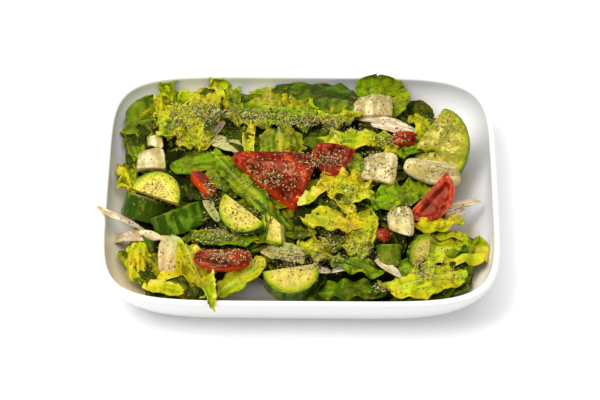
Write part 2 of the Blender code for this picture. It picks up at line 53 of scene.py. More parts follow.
# The dish
HALF_LENGTH = 125.0
HALF_WIDTH = 93.5
DISH_HEIGHT = 36.0
CORNER_POWER = 6.0  # the outline is a superellipse of this power
BASE_INSET = 15.0  # how far the base stands in from the rim
BASE_EDGE = 0.8  # the worn edge between base and wall
BASE_BEVEL = 1.2  # how much further in the flat base ends
OUTER_CURVE = 1.35
FLOOR_HEIGHT = 5.0
RIM_THICKNESS = 4.0
SHOULDER = DISH_HEIGHT - RIM_THICKNESS / 2  # where the round of the rim starts
INNER_RUN = 24.0  # how far the inner wall comes in from the rim down to the floor
INNER_CURVE = 2.4
INNER_CROWD = 1.7  # crowds the inner wall's rings towards the floor
OUTLINE_STEPS = 1440
DISH_SIDES = 288
OUTER_STEPS, RIM_STEPS, INNER_STEPS = 20, 12, 34
FLOOR_RINGS = (6, 14, 24, 38, 56)  # how far in they lie from the foot of the inner wall
WALL_CLEARANCE = 0.7

# The heap that the solids have too
HEAP_LENGTH = 117.0  # half its length and half its width, where it meets the dish
HEAP_WIDTH = 86.0
HEAP_EDGE = 24.0  # its height at the edge, and how much higher its middle is
HEAP_RISE = 24.0
HEAP_POWER = 4.0
HEAP_SLOPE = 2.4
CORE_DEPTH = 2.0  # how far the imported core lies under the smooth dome
CORE_LUMP = 5.0
LUMP_SCALE = 0.045
LUMP_PLANE = math.pi  # the level at which the lumps are cut from the noise
CORE_LEAST = 9.0  # its lowest top
CORE_LENGTH = 108.0  # half of the core's middle part, where pieces are set down
CORE_WIDTH = 78.0
SUNK_SHARE = 0.2  # of a piece's points that lie in the core, and how deep the last of them lies
SINK = 0.8
# Where the heap falls away: x, y, reach and depth
HOLLOWS = [(112, 80, 40, 15), (-116, -74, 32, 12), (122, -6, 30, 11), (-124, 5, 22, 9), (118, -80, 26, 9),
           (-84, -24, 30, 11), (60, -50, 18, 6), (-10, -44, 16, 5)]
LEAN = 0.78  # a raised piece also comes forward by this share of its lift
SIGHT = Vector((0, -LEAN, 1)).normalized()

# The scene's own core, lower than the solids'
CORE_INSET = 20.0  # how far in from the rim it ends
CORE_UNDER = 4.5  # how far it lies below the solids', and how much further at its edge
CORE_FALL = 12.0
CORE_LOW = 13.0  # its lowest top
CORE_SIDE = [(29.0, 6.0), (26.0, 8.0), (23.0, 10.5), (CORE_INSET, CORE_LOW)]  # its side: inset, height
CORE_TOP = np.linspace(0.97, 0.02, 40)  # where the rings of its top lie, from its edge in
CORE_SIDES = 180
CORE_ROUGH = [(1.8, 6.0, 2.0), (0.8, 2.4, 3.0)]  # the height, size and seed of its small lumps
BAYS = [(-38, -72, 22, 0.26), (104, -6, 26, 0.16)]  # where it is drawn in: x, y, reach and share

# Leaves and strips
RAGGED = 0.16  # how uneven a leaf's edge is, and how much of its width is left at its ends
LEAF_END = 0.3
RAGGED_ALONG = 5  # how fast that unevenness changes along a leaf and across it
RAGGED_ACROSS = 3
AHEAD = 0.02  # share of its length over which a leaf's direction is measured, each way
WAVE_LENGTH = 12
LEAST_WAVES = 1.5
WAVE_SHIFT = 0.37  # of a wave, for each step of the seed
WAVE_SLANT = 0.25  # of a wave, from a leaf's middle to its edge
FRILL_POWER = 1.5  # how closely the waves keep to the edge
LEAF_SEED = 1.7  # between the seeds of one leaf and the next, and of one onion sliver and the next
ONION_SEED = 2.3
LIP = 9  # how far apart the noise of a leaf's middle and edges is read
NERVE_SPACING = 6.5
LIGHT_TONE = 0.5  # looks above it have paler edges
SETTLE_ROWS, SETTLE_COLUMNS = 5, 3  # the places by which a piece is let down, and its thickness there
SETTLE_THICK = 1.3
CELL = 0.68  # the size of a leaf's mesh squares
FILL_CELL = 1.15  # and of those that lie under others


# ---- noise over arrays
SCATTER = np.array([127.1, 311.7, 74.7])  # unrelated numbers that scatter neighbouring places
SCATTER_SEED = 17.3
SCATTER_SIZE = 43758.5453
SEED_LEVEL = 3.7  # between the levels that one seed and the next read flat noise at


def hashed(cell, seed):
    """A number between -1 and 1 for each whole-number place."""
    mixed = np.sin(cell @ SCATTER + seed * SCATTER_SEED) * SCATTER_SIZE
    return 2 * (mixed - np.floor(mixed)) - 1


def wavy(points, size, seed):
    """Smooth noise, mostly between -0.8 and 0.8, whose lumps are about that many millimetres."""
    place = points / size
    low = np.floor(place)
    part = place - low
    part = part * part * (3 - 2 * part)
    total = 0.0
    for corner in np.ndindex(2, 2, 2):
        weight = np.prod(np.where(corner, part, 1 - part), axis=-1)
        total = total + weight * hashed(low + corner, seed)
    return total


def flat_noise(x, y, size, seed=0.0):
    """The same noise over two arrays of coordinates."""
    x, y = np.broadcast_arrays(x, y)
    return wavy(np.stack([x, y, np.full(x.shape, seed * SEED_LEVEL)], -1), size, seed)


def smooth_step(low, high, value):
    """0 on low's side, 1 on high's and smooth between."""
    share = np.clip((value - low) / (high - low), 0, 1)
    return share * share * (3 - 2 * share)


def squarish(x, y, power):
    """How far out a place lies: 1 on the rounded square of that power, which is 2 across."""
    return (np.abs(x) ** power + np.abs(y) ** power) ** (1 / power)


def unit(vectors):
    return vectors / np.maximum(np.linalg.norm(vectors, axis=-1, keepdims=True), TINY)


# ---- pieces from arrays
class Bundle:
    """Closed bodies gathered into one mesh, with named numbers at every point."""

    def __init__(self):
        self.points, self.faces, self.values, self.count = [], [], {}, 0

    def add(self, points, faces, **values):
        """Adds a body: its points, arrays of faces with as many corners each, and its values."""
        self.faces += [block + self.count for block in faces]
        self.points.append(points)
        for name, value in values.items():
            self.values.setdefault(name, []).append(np.broadcast_to(value, len(points)))
        self.count += len(points)

    def mesh(self, name):
        made = bpy.data.meshes.new(name)
        points = np.concatenate(self.points) * MM
        corners = np.concatenate([block.reshape(-1) for block in self.faces])
        sizes = np.concatenate([np.full(len(block), block.shape[1]) for block in self.faces])
        made.vertices.add(len(points))
        made.vertices.foreach_set("co", points.reshape(-1))
        made.loops.add(len(corners))
        made.loops.foreach_set("vertex_index", corners)
        made.polygons.add(len(sizes))
        made.polygons.foreach_set("loop_start", np.cumsum(sizes) - sizes)
        made.update(calc_edges=True)
        for key, parts in self.values.items():
            made.attributes.new(key, "FLOAT", "POINT").data.foreach_set("value", np.concatenate(parts))
        made.shade_smooth()
        return made


def add_piece(name, bundle, finish, slot, *nodes, sharp=None):
    """A piece of the scene that rides on the dish's body and stands for those nodes."""
    piece = bpy.data.objects.new(name, bundle.mesh(name))
    bpy.context.scene.collection.objects.link(piece)
    piece.data.materials.append(finish)
    if sharp:
        piece.data.set_sharp_from_angle(angle=math.radians(sharp))
    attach(piece, "root")
    if nodes:
        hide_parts(*nodes)
    return piece


def grid_faces(rows, columns, wrap=False):
    """Squares between neighbours in a grid of rows x columns points."""
    index = np.arange(rows * columns).reshape(rows, columns)
    if wrap:
        index = np.concatenate([index, index[:, :1]], axis=1)
    a, b, c, d = index[:-1, :-1], index[:-1, 1:], index[1:, 1:], index[1:, :-1]
    return np.stack([a, b, c, d], -1).reshape(-1, 4)


def grid_normals(grid):
    """Unit normals of a grid of points (rows, columns, 3), on the side of across x along."""
    return unit(np.cross(np.gradient(grid, axis=1), np.gradient(grid, axis=0)))


def closed_sheet(top, thick, normals=None):
    """(points, faces) of a sheet under that grid, with a rim between its two faces."""
    rows, columns = top.shape[:2]
    if normals is None:
        normals = grid_normals(top)
    bottom = top - normals * np.asarray(thick)[..., None]
    upper = grid_faces(rows, columns)
    under = rows * columns
    index = np.arange(under).reshape(rows, columns)
    rim = np.concatenate([index[0, :-1], index[:-1, -1], index[-1, :0:-1], index[:0:-1, 0]])
    after = np.roll(rim, -1)
    band = np.stack([after, rim, rim + under, after + under], -1)
    points = np.concatenate([top.reshape(-1, 3), bottom.reshape(-1, 3)])
    return points, [upper, upper[:, ::-1] + under, band]


def on_both_faces(values, grid):
    """Numbers over a sheet's grid, for its upper face and then for its lower."""
    return np.tile(np.broadcast_to(values, grid.shape[:2]).reshape(-1), 2)


def lofted(rings):
    """(points, faces) of a closed body through rings of as many points each, capped by fans."""
    count, sides = rings.shape[:2]
    points = np.concatenate([rings.reshape(-1, 3), [rings[0].mean(0)], [rings[-1].mean(0)]])
    around = np.arange(sides)
    after = np.roll(around, -1)
    low = np.stack([after, around, np.full(sides, count * sides)], -1)
    last = (count - 1) * sides
    high = np.stack([around + last, after + last, np.full(sides, count * sides + 1)], -1)
    return points, [grid_faces(count, sides, wrap=True), low, high]


def with_hubs(values):
    """Numbers over a loft's rings, and the means of its first and last for the fans' middles."""
    return np.concatenate([values.reshape(-1), [values[0].mean(), values[-1].mean()]])


# ---- materials
class Paint:
    """A material's nodes, made with few words."""

    def __init__(self, name, **sockets):
        self.material = bpy.data.materials.new(name)
        self.material.use_nodes = True
        self.tree = self.material.node_tree
        self.shader = self.tree.nodes["Principled BSDF"]
        self.set(**sockets)

    def set(self, **sockets):
        """Feeds the shader's sockets, which are named with _ for a space."""
        for socket, value in sockets.items():
            self.feed(self.shader.inputs[socket.replace("_", " ")], value)

    def feed(self, socket, value):
        """Links another node's output to a socket, or gives it a number or a colour."""
        if isinstance(value, bpy.types.NodeSocket):
            self.tree.links.new(value, socket)
        elif isinstance(value, tuple):
            socket.default_value = (*value, 1.0)[:len(socket.default_value)]
        else:
            socket.default_value = value

    def node(self, kind, output, inputs, **settings):
        """One output of a new node with those inputs and settings."""
        made = self.tree.nodes.new("ShaderNode" + kind)
        for key, value in settings.items():
            setattr(made, key, value)
        for socket, value in inputs.items():
            self.feed(made.inputs[socket], value)
        return made.outputs[output]

    def value(self, name):
        return self.node("Attribute", "Fac", {}, attribute_name=name)

    def maths(self, operation, *values):
        return self.node("Math", 0, dict(enumerate(values)), operation=operation)

    def times(self, a, b):
        return self.maths("MULTIPLY", a, b)

    def product(self, a, b):
        """One colour or place times another."""
        return self.node("VectorMath", 0, {0: a, 1: b}, operation="MULTIPLY")

    def grain(self, size, detail):
        """Noise between 0 and 1 whose lumps are about that many millimetres."""
        place = self.product(self.node("TexCoord", "Object", {}), (1 / (size * MM),) * 3)
        return self.node("TexNoise", "Fac", {"Vector": place, "Scale": 1.0, "Detail": detail})

    def between(self, low, high, value):
        """0 below low, 1 above high and smooth between."""
        return self.node("MapRange", "Result", {"Value": value, "From Min": low, "From Max": high},
                         interpolation_type="SMOOTHSTEP")

    def mix(self, share, a, b):
        """A share of b in a; 6, 7 and 2 are the node's sockets for colours."""
        return self.node("Mix", 2, {0: share, 6: a, 7: b}, data_type="RGBA")

    def marked(self, base, colour, share, name):
        """The base with that share of another colour where the value of that name is high."""
        return self.mix(self.times(self.value(name), share), base, colour)

    def spotted(self, base, colour, share, low, high, size, detail):
        """The same where the grain of that size and detail is high."""
        return self.mix(self.times(self.between(low, high, self.grain(size, detail)), share), base, colour)

    def ramp(self, value, *stops):
        """A colour from (place, colour) stops."""
        made = self.node("ValToRGB", "Color", {0: value})
        elements = made.node.color_ramp.elements
        for element, (place, colour) in zip(elements, (stops[0], stops[-1])):
            element.position, element.color = place, (*colour, 1)
        for place, colour in stops[1:-1]:
            elements.new(place).color = (*colour, 1)
        return made

    def bump(self, height, depth):
        """Relief finer than the mesh, that many millimetres deep."""
        normal = self.node("Bump", "Normal", {"Strength": 1.0, "Distance": depth * MM, "Height": height})
        self.set(Normal=normal)
        return normal

    def let_through(self, colour, share, normal):
        """Light from behind shows through the surface in that colour."""
        glow = self.node("BsdfTranslucent", "BSDF", {"Color": colour, "Normal": normal})
        both = self.node("MixShader", "Shader", {0: share, 1: self.shader.outputs[0], 2: glow})
        self.feed(self.tree.nodes["Material Output"].inputs["Surface"], both)


# Leaf colours from the darkest green to the palest yellow
LEAF_STOPS = [
    (0.00, (0.007, 0.013, 0.001)),
    (0.18, (0.034, 0.053, 0.001)),
    (0.36, (0.126, 0.168, 0.002)),
    (0.54, (0.330, 0.340, 0.003)),
    (0.72, (0.560, 0.520, 0.005)),
    (0.88, (0.760, 0.680, 0.020)),
    (1.00, (0.880, 0.780, 0.160)),
]
PALE_STOPS = [(0.20, (0.32, 0.24, 0.06)), (0.55, (0.56, 0.45, 0.17)), (0.95, (0.76, 0.66, 0.36))]
VEIN_COLOUR = (0.68, 0.64, 0.12)
OIL_TINT = (1.0, 0.92, 0.12)  # highlights take the colour of the oily dressing


def leaf_paint(name, roughness, through, veins, hue, stops):
    """Wet leaf: its tone runs from dark green through lime to pale yellow, its veins are paler."""
    paint = Paint(name, Specular_Tint=OIL_TINT, IOR=1.42)
    mottle = paint.maths("MULTIPLY_ADD", paint.grain(5.0, 4.0), 0.18, -0.09)
    base = paint.ramp(paint.maths("ADD", paint.value("tone"), mottle), *stops)
    base = paint.marked(base, VEIN_COLOUR, veins, "vein")
    drift = paint.ramp(paint.grain(20.0, 2.0), (0.36, (0.78, 1.03, 0.8)), (0.5, (1, 1, 1)),
                       (0.64, (1.14, 0.97, 1)))
    base = paint.product(paint.product(base, drift), hue)
    base = paint.spotted(base, (0.32, 0.15, 0.005), 0.5, 0.60, 0.68, 2.6, 3.0)  # oil
    base = paint.spotted(base, (0.04, 0.05, 0.002), 0.4, 0.66, 0.74, 2.2, 1.0)  # pepper
    wet = paint.between(0.42, 0.62, paint.grain(6.0, 2.0))
    paint.set(Base_Color=base, Roughness=paint.maths("SUBTRACT", roughness, paint.times(wet, 0.20)))
    relief = paint.maths("ADD", paint.grain(1.5, 3.0), paint.times(paint.grain(4.0, 2.0), 1.6))
    lit = paint.product(paint.mix(0.4, base, (0.36, 0.46, 0.01)), (1.0, 1.0, 0.5))
    paint.let_through(lit, through, paint.bump(relief, 0.45))
    return paint.material


def pale_paint(name, low, high, roughness):
    """Juicy rib or onion: pale flesh with faint lines along it, light passing through."""
    paint = Paint(name, Roughness=roughness, Specular_Tint=OIL_TINT, Subsurface_Weight=0.35,
                  Subsurface_Scale=0.003, Subsurface_Radius=(1.0, 0.85, 0.5))
    base = paint.mix(paint.between(0.35, 0.75, paint.value("line")), low, high)
    base = paint.spotted(base, (0.40, 0.29, 0.08), 0.6, 0.46, 0.66, 8.0, 3.0)  # stains
    base = paint.spotted(base, (0.10, 0.09, 0.02), 0.6, 0.66, 0.72, 1.4, 1.0)  # flecks
    paint.set(Base_Color=base)
    paint.bump(paint.grain(1.0, 3.0), 0.08)
    return paint.material


def porcelain_paint():
    """White glaze, tinted olive-tan on the inner walls by the heap: partly a film of dressing, partly painted
    shade and painted reflection of the salad.
    """
    paint = Paint("porcelain_glaze", Roughness=0.30, Coat_Weight=0.25, Coat_Roughness=0.22)
    # The olive-tan tint is partly dressing, partly painted shade and painted reflection of the salad on the
    # walls.
    film = paint.times(paint.value("film"), paint.between(0.05, 0.5, paint.grain(16.0, 4.0)))
    glaze = paint.mix(paint.grain(40.0, 2.0), (0.90, 0.895, 0.89), (0.93, 0.925, 0.92))
    paint.set(Base_Color=paint.mix(film, glaze, (0.93, 0.77, 0.43)))
    wet = paint.times(paint.between(0.72, 0.76, paint.grain(1.6, 1.0)), film)
    paint.bump(paint.maths("ADD", wet, paint.times(paint.grain(25.0, 1.0), 0.15)), 0.12)
    return paint.material


def core_paint():
    """Painted shade for the heap's wet inside: near-black, so the gaps between the pieces show dark."""
    paint = Paint("wet_shadow", Roughness=0.8, IOR=1.15)
    paint.set(Base_Color=paint.ramp(paint.grain(9.0, 4.0), (0.3, (0.004, 0.005, 0.001)),
                                    (0.7, (0.024, 0.026, 0.001))))
    paint.bump(paint.grain(3.0, 4.0), 0.6)
    return paint.material


def cucumber_paint():
    """Pale flesh, a yellower seedy middle, a green ring under the skin and a dark striped skin."""
    paint = Paint("cucumber_cut", Roughness=0.24, Specular_Tint=OIL_TINT, Subsurface_Weight=0.2,
                  Subsurface_Scale=0.003, Subsurface_Radius=(1.0, 1.0, 0.3))
    uneven = paint.maths("ADD", paint.value("radius"), paint.times(paint.grain(3.5, 2.0), 0.10))
    flesh = paint.ramp(
        uneven, (0.10, (0.75, 0.61, 0.17)), (0.50, (0.70, 0.55, 0.11)), (0.68, (0.76, 0.63, 0.16)),
        (0.84, (0.56, 0.51, 0.03)), (0.94, (0.26, 0.36, 0.005)), (1.00, (0.06, 0.13, 0.002)))
    flesh = paint.spotted(flesh, (0.44, 0.40, 0.03), 0.45, 0.42, 0.66, 8.0, 2.0)  # blotches
    flesh = paint.marked(flesh, (0.32, 0.28, 0.03), 0.4, "gel")
    flesh = paint.marked(flesh, (0.66, 0.55, 0.17), 0.35, "seed")
    flesh = paint.spotted(flesh, (0.17, 0.19, 0.008), paint.value("olive"), 0.36, 0.56, 7.0, 2.0)
    flesh = paint.spotted(flesh, (0.40, 0.22, 0.010), 0.65, 0.56, 0.70, 3.2, 2.0)  # stains
    flesh = paint.spotted(flesh, (0.05, 0.06, 0.01), 0.8, 0.68, 0.72, 1.2, 1.0)  # flecks
    stripes = paint.between(0.35, 0.75, paint.value("line"))
    skin = paint.spotted((0.018, 0.065, 0.001), (0.13, 0.26, 0.010), stripes, 0.30, 0.62, 6.0, 3.0)
    paint.set(Base_Color=paint.mix(paint.value("skin"), flesh, skin))
    paint.bump(paint.grain(1.1, 2.0), 0.10)
    return paint.material


def tomato_paint():
    """Glossy red skin, and cut faces with a firm wall, wet seed chambers and a pale middle."""
    paint = Paint("tomato_cut", Roughness=0.14, Specular_Tint=(1.0, 0.45, 0.26), IOR=1.37)
    flesh = paint.ramp(paint.grain(4.0, 4.0), (0.34, (0.13, 0.005, 0.001)), (0.52, (0.36, 0.014, 0.003)),
                       (0.70, (0.58, 0.075, 0.022)))
    flesh = paint.marked(flesh, (0.16, 0.008, 0.002), 0.7, "gel")
    flesh = paint.marked(flesh, (0.62, 0.26, 0.08), 0.45, "seed")
    drift = paint.ramp(paint.grain(11.0, 3.0), (0.38, (0.42, 0.36, 0.36)), (0.58, (1.12, 1.12, 1.12)))
    skin = paint.ramp(paint.grain(14.0, 3.0), (0.3, (0.40, 0.016, 0.001)), (0.7, (0.66, 0.060, 0.003)))
    paint.set(Base_Color=paint.mix(paint.value("skin"), paint.product(flesh, drift), skin))
    paint.bump(paint.mix(paint.value("skin"), paint.grain(1.4, 3.0), paint.grain(9.0, 1.0)), 0.16)
    return paint.material


def flake_paint(name, roughness, *stops):
    paint = Paint(name, Roughness=roughness)
    paint.set(Base_Color=paint.ramp(paint.value("tone"), *stops))
    return paint.material


# ---- the dish
def outline(inset, sides):
    """Points round the dish's outline that far in from its rim, closer together where it turns."""
    angle = np.linspace(0, TURN, OUTLINE_STEPS, endpoint=False)
    c, s = np.cos(angle), np.sin(angle)
    length, width = HALF_LENGTH - inset, HALF_WIDTH - inset
    reach = (np.abs(c / length) ** CORNER_POWER + np.abs(s / width) ** CORNER_POWER) ** (-1 / CORNER_POWER)
    dense = np.stack([c * reach, s * reach], -1)
    step = np.roll(dense, -1, 0) - dense
    way = np.arctan2(step[:, 1], step[:, 0])
    turn = np.mod(way - np.roll(way, 1), TURN)
    size = np.linalg.norm(step, axis=1)
    total = np.concatenate([[0], np.cumsum(size / size.sum() + turn / TURN)])
    goal = total[-1] * np.arange(sides) / sides
    closed = np.concatenate([dense, dense[:1]])
    return np.stack([np.interp(goal, total, closed[:, k]) for k in (0, 1)], -1)


def ring(inset, height, sides):
    return np.column_stack([outline(inset, sides), np.full(sides, height)])


def inner_inset(height):
    """How far the dish's inner wall stands in from the rim's outline at a height."""
    share = np.clip((height - FLOOR_HEIGHT) / (SHOULDER - FLOOR_HEIGHT), 0, 1)
    return RIM_THICKNESS + INNER_RUN * (1 - share) ** INNER_CURVE


def dish_stations():
    """(inset from the rim's outline, height) up the outside, over the rim and down the inside."""
    stations = [(BASE_INSET + BASE_BEVEL * 3, 0.0), (BASE_INSET + BASE_BEVEL, 0.0)]
    radius = RIM_THICKNESS / 2
    for share in np.linspace(0, 1, OUTER_STEPS + 1):
        height = BASE_EDGE + (SHOULDER - BASE_EDGE) * share
        stations.append((BASE_INSET * (1 - height / SHOULDER) ** OUTER_CURVE, height))
    for angle in np.linspace(0, math.pi, RIM_STEPS + 1)[1:-1]:
        stations.append((radius * (1 - math.cos(angle)), SHOULDER + radius * math.sin(angle)))
    for share in np.linspace(1, 0, INNER_STEPS + 1):
        height = FLOOR_HEIGHT + (SHOULDER - FLOOR_HEIGHT) * share ** INNER_CROWD
        stations.append((inner_inset(height), height))
    return stations + [(RIM_THICKNESS + INNER_RUN + further, FLOOR_HEIGHT) for further in FLOOR_RINGS]


# Where the glaze is tinted olive-tan, partly by a film of dressing and partly as painted shade and painted
# reflection of the salad next to the heap: x, y, reach and strength
DRESSING_AND_SHADE = [(-112, -60, 46, 1.0), (-118, 10, 40, 0.5), (-60, -84, 40, 0.8), (-20, -84, 26, 0.9),
         (98, -24, 21, 0.9), (76, 70, 20, 0.6), (60, -82, 22, 0.8), (112, -60, 26, 0.5),
         (-110, 70, 30, 0.15), (100, 20, 20, 0.4)]
WALL_TINT_TOP = 46.0  # it fades from the lower of these heights to the upper
WALL_TINT_LOW = 12.0
WALL_TINT_FADE = 0.3  # and from this share of its reach
WALL_TINT_FROM = 2 + OUTER_STEPS + RIM_STEPS - 2  # the ring over the rim's inner edge, where it starts


def dressing_and_shade_at(points):
    """How much the dish's inside is tinted olive-tan at each point: partly a film of dressing, partly painted
    shade.
    """
    strength = np.zeros(len(points))
    for x, y, reach, most in DRESSING_AND_SHADE:
        away = np.hypot(points[:, 0] - x, points[:, 1] - y) / reach
        strength = np.maximum(strength, most * smooth_step(1.0, WALL_TINT_FADE, away))
    inside = np.arange(len(points)) >= WALL_TINT_FROM * DISH_SIDES
    return strength * smooth_step(WALL_TINT_TOP, WALL_TINT_LOW, points[:, 2]) * inside


def make_dish():
    points, faces = lofted(np.array([ring(*station, DISH_SIDES) for station in dish_stations()]))
    bundle = Bundle()
    bundle.add(points, faces, film=dressing_and_shade_at(points))
    return add_piece("glazed_dish", bundle, porcelain_paint(), "porcelain", "dish", sharp=50)


# ---- the heap's ground
def dome_height(x, y):
    out = squarish(x / HEAP_LENGTH, y / HEAP_WIDTH, HEAP_POWER)
    return HEAP_EDGE + HEAP_RISE * (1 - min(out, 1.0) ** HEAP_SLOPE)


def on_heap(x, y, lift):
    """A point of the heap from its place on the dome and its height above it."""
    return Vector((x, y - LEAN * lift, dome_height(x, y) + lift))


def core_top(x, y):
    """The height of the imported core's lumpy top."""
    lump = noise.noise(Vector((x * LUMP_SCALE, y * LUMP_SCALE, LUMP_PLANE)))
    height = dome_height(x, y) - CORE_DEPTH + CORE_LUMP * lump
    for middle_x, middle_y, reach, depth in HOLLOWS:
        away = math.hypot(x - middle_x, y - middle_y) / reach
        height -= depth * max(0.0, 1 - away * away)
    return max(height, CORE_LEAST)


def make_core():
    """The packed middle, painted near-black as the shade that shows in the gaps, lower than the solid's and
    clear of the wall.
    """
    rings = [ring(*place, CORE_SIDES) for place in CORE_SIDE]
    for share in CORE_TOP:
        places = outline(CORE_INSET, CORE_SIDES) * share
        fall = CORE_UNDER + CORE_FALL * smooth_step(0.72, 1.0, share)
        rings.append([(x, y, max(core_top(x, y) - fall, CORE_LOW)) for x, y in places])
    rings = np.array(rings)
    for x, y, reach, pull in BAYS:
        near = np.exp(-((rings[..., 0] - x) ** 2 + (rings[..., 1] - y) ** 2) / reach ** 2)
        rings[..., :2] *= (1 - pull * near)[..., None]
    top = rings[len(CORE_SIDE) - 1:]
    top[..., 2] += sum(height * wavy(top, size, seed) for height, size, seed in CORE_ROUGH)
    bundle = Bundle()
    bundle.add(*lofted(rings))
    return add_piece("packed_core", bundle, core_paint(), "lettuce", "salad")


def kept_in_dish(points):
    """Points below the rim that lie in the dish's wall or floor, moved to just inside it."""
    x, y, z = np.moveaxis(points, -1, 0)
    z = np.maximum(z, FLOOR_HEIGHT + WALL_CLEARANCE)
    inset = inner_inset(z) + WALL_CLEARANCE
    out = squarish(x / (HALF_LENGTH - inset), y / (HALF_WIDTH - inset), CORNER_POWER)
    scale = np.where(z < DISH_HEIGHT, 1 / np.maximum(out, 1.0), 1.0)
    return np.stack([x * scale, y * scale, z], -1)


# ---- leaves and strips
# What a leaf is like: the piece it joins, its tone and how much that varies, the depth and size
# of its blisters, the depth of the pleats along it, the height of its ruffled edge, how torn its
# edge is, how plainly its veins show, and its thickness.
Look = namedtuple("Look", "piece tone spread crinkle blister pleat ruffle torn veins thick")
LOOKS = {
    "spinach": Look("smooth_leaves", 0.30, 0.05, 0.40, 8.0, 1.0, 0.8, 0.03, 0.20, 0.7),
    "bright": Look("green_leaves", 0.45, 0.05, 0.45, 7.0, 1.0, 1.0, 0.03, 0.25, 0.7),
    "green": Look("green_leaves", 0.38, 0.07, 1.20, 5.0, 2.4, 2.2, 0.08, 0.30, 0.7),
    "lime": Look("lime_leaves", 0.56, 0.06, 1.20, 5.0, 2.8, 2.2, 0.07, 0.45, 0.7),
    "frilly": Look("frilly_leaves", 0.62, 0.10, 2.10, 3.4, 3.4, 4.2, 0.22, 0.50, 0.6),
    "yellow": Look("yellow_leaves", 0.74, 0.07, 1.50, 4.2, 3.2, 2.8, 0.14, 0.50, 0.6),
    "olive": Look("lime_leaves", 0.60, 0.08, 1.20, 5.0, 2.4, 1.8, 0.10, 0.40, 0.6),
    "romaine": Look("lime_leaves", 0.64, 0.06, 0.50, 6.0, 3.4, 1.2, 0.04, 0.35, 0.7),
    "pale": Look("pale_pieces", 0.66, 0.16, 0.30, 6.0, 1.6, 0.6, 0.04, 0.20, 1.0),
}


def through(start, middle, end, share):
    """The point at a share of the smooth curve through three places."""
    a = (1 - share) * (1 - 2 * share)
    b = 4 * share * (1 - share)
    c = share * (2 * share - 1)
    return tuple(a * s + b * m + c * e for s, m, e in zip(start, middle, end))


def spine(path, shares, roll):
    """The middle line of a strip over the heap, the ways across it and its normals, as arrays."""
    here, across, normal = [], [], []
    for share in shares:
        along = on_heap(*through(*path, min(1, share + AHEAD)))
        back = on_heap(*through(*path, max(0, share - AHEAD)))
        way = (along - back).normalized()
        sideways = Matrix.Rotation(math.radians(roll), 3, way) @ way.cross(Vector((0, 0, 1))).normalized()
        here.append(on_heap(*through(*path, share)))
        across.append(sideways)
        normal.append(sideways.cross(way))
    return np.array(here), np.array(across), np.array(normal)


def ragged_edge(share, side, seed, depth):
    """The uneven width that the solids have too."""
    found = [[noise.noise(Vector((a * RAGGED_ALONG, b * RAGGED_ACROSS, seed))) for b in side[0]]
             for a in share[:, 0]]
    return 1 + depth * np.array(found)


def half_width(width, blunt, share, taper, least=LEAF_END):
    """Half a strip's width at a share of its length; taper makes its end wider than its start."""
    rounded = np.maximum(least, np.maximum(0, 1 - np.abs(2 * share - 1) ** blunt) ** (1 / blunt))
    return width / 2 * rounded * (1 + taper * (2 * share - 1))


def settle_drop(path, width, blunt, cup, roll, taper):
    """How far a piece is let down along the sight line until part of it lies in the core."""
    shares = np.linspace(0, 1, SETTLE_ROWS + 1)
    clear = []
    for share, here, across in zip(shares, *spine(path, shares, roll)[:2]):
        half = half_width(width, blunt, share, taper)
        for side in np.linspace(-1, 1, SETTLE_COLUMNS + 1):
            x, y, z = here + across * half * side
            if abs(x) < CORE_LENGTH and abs(y) < CORE_WIDTH:
                above = z + cup * half * side * side - core_top(x, y)
                clear += [above, above - SETTLE_THICK]
    clear.sort()
    return max(0.0, clear[int(len(clear) * SUNK_SHARE)] + SINK) if clear else 0.0


def strip_length(path):
    stops = [on_heap(*through(*path, i / 8)) for i in range(9)]
    return sum((b - a).length for a, b in zip(stops, stops[1:]))


def strip_grid(path, width, seed, blunt=2.6, cup=0.0, roll=0.0, frill=0.0, taper=0.0, least=LEAF_END,
               ragged=RAGGED, cell=CELL, full_ends=False, free=False):
    """(grid of points, share, side, u, v) of a strip; u and v are in millimetres. Full ends have
    rows closer together there, for a smooth outline. A free strip isn't let down to the core."""
    long = strip_length(path)
    share = np.linspace(0, 1, max(8, round(long / cell)) + 1)
    if full_ends:
        share = 0.5 - 0.5 * np.cos(math.pi * share)
    side = np.linspace(-1, 1, max(6, round(width / cell)) + 1)[None]
    here, across, normal = (a[:, None] for a in spine(path, share, roll))
    share = share[:, None]
    half = half_width(width, blunt, share, taper, least) * ragged_edge(share, side, seed, ragged)
    waves = max(LEAST_WAVES, long / WAVE_LENGTH)
    wave = np.sin(TURN * (waves * share + WAVE_SHIFT * seed + WAVE_SLANT * side))
    rise = cup * half * side * side + frill * wave * np.abs(side) ** FRILL_POWER
    drop = 0 if free else settle_drop(path, width, blunt, cup, roll, taper)
    grid = here + across * (half * side)[..., None] + normal * rise[..., None] + (0, LEAN * drop, -drop)
    return grid, share, side, share * long, half * side


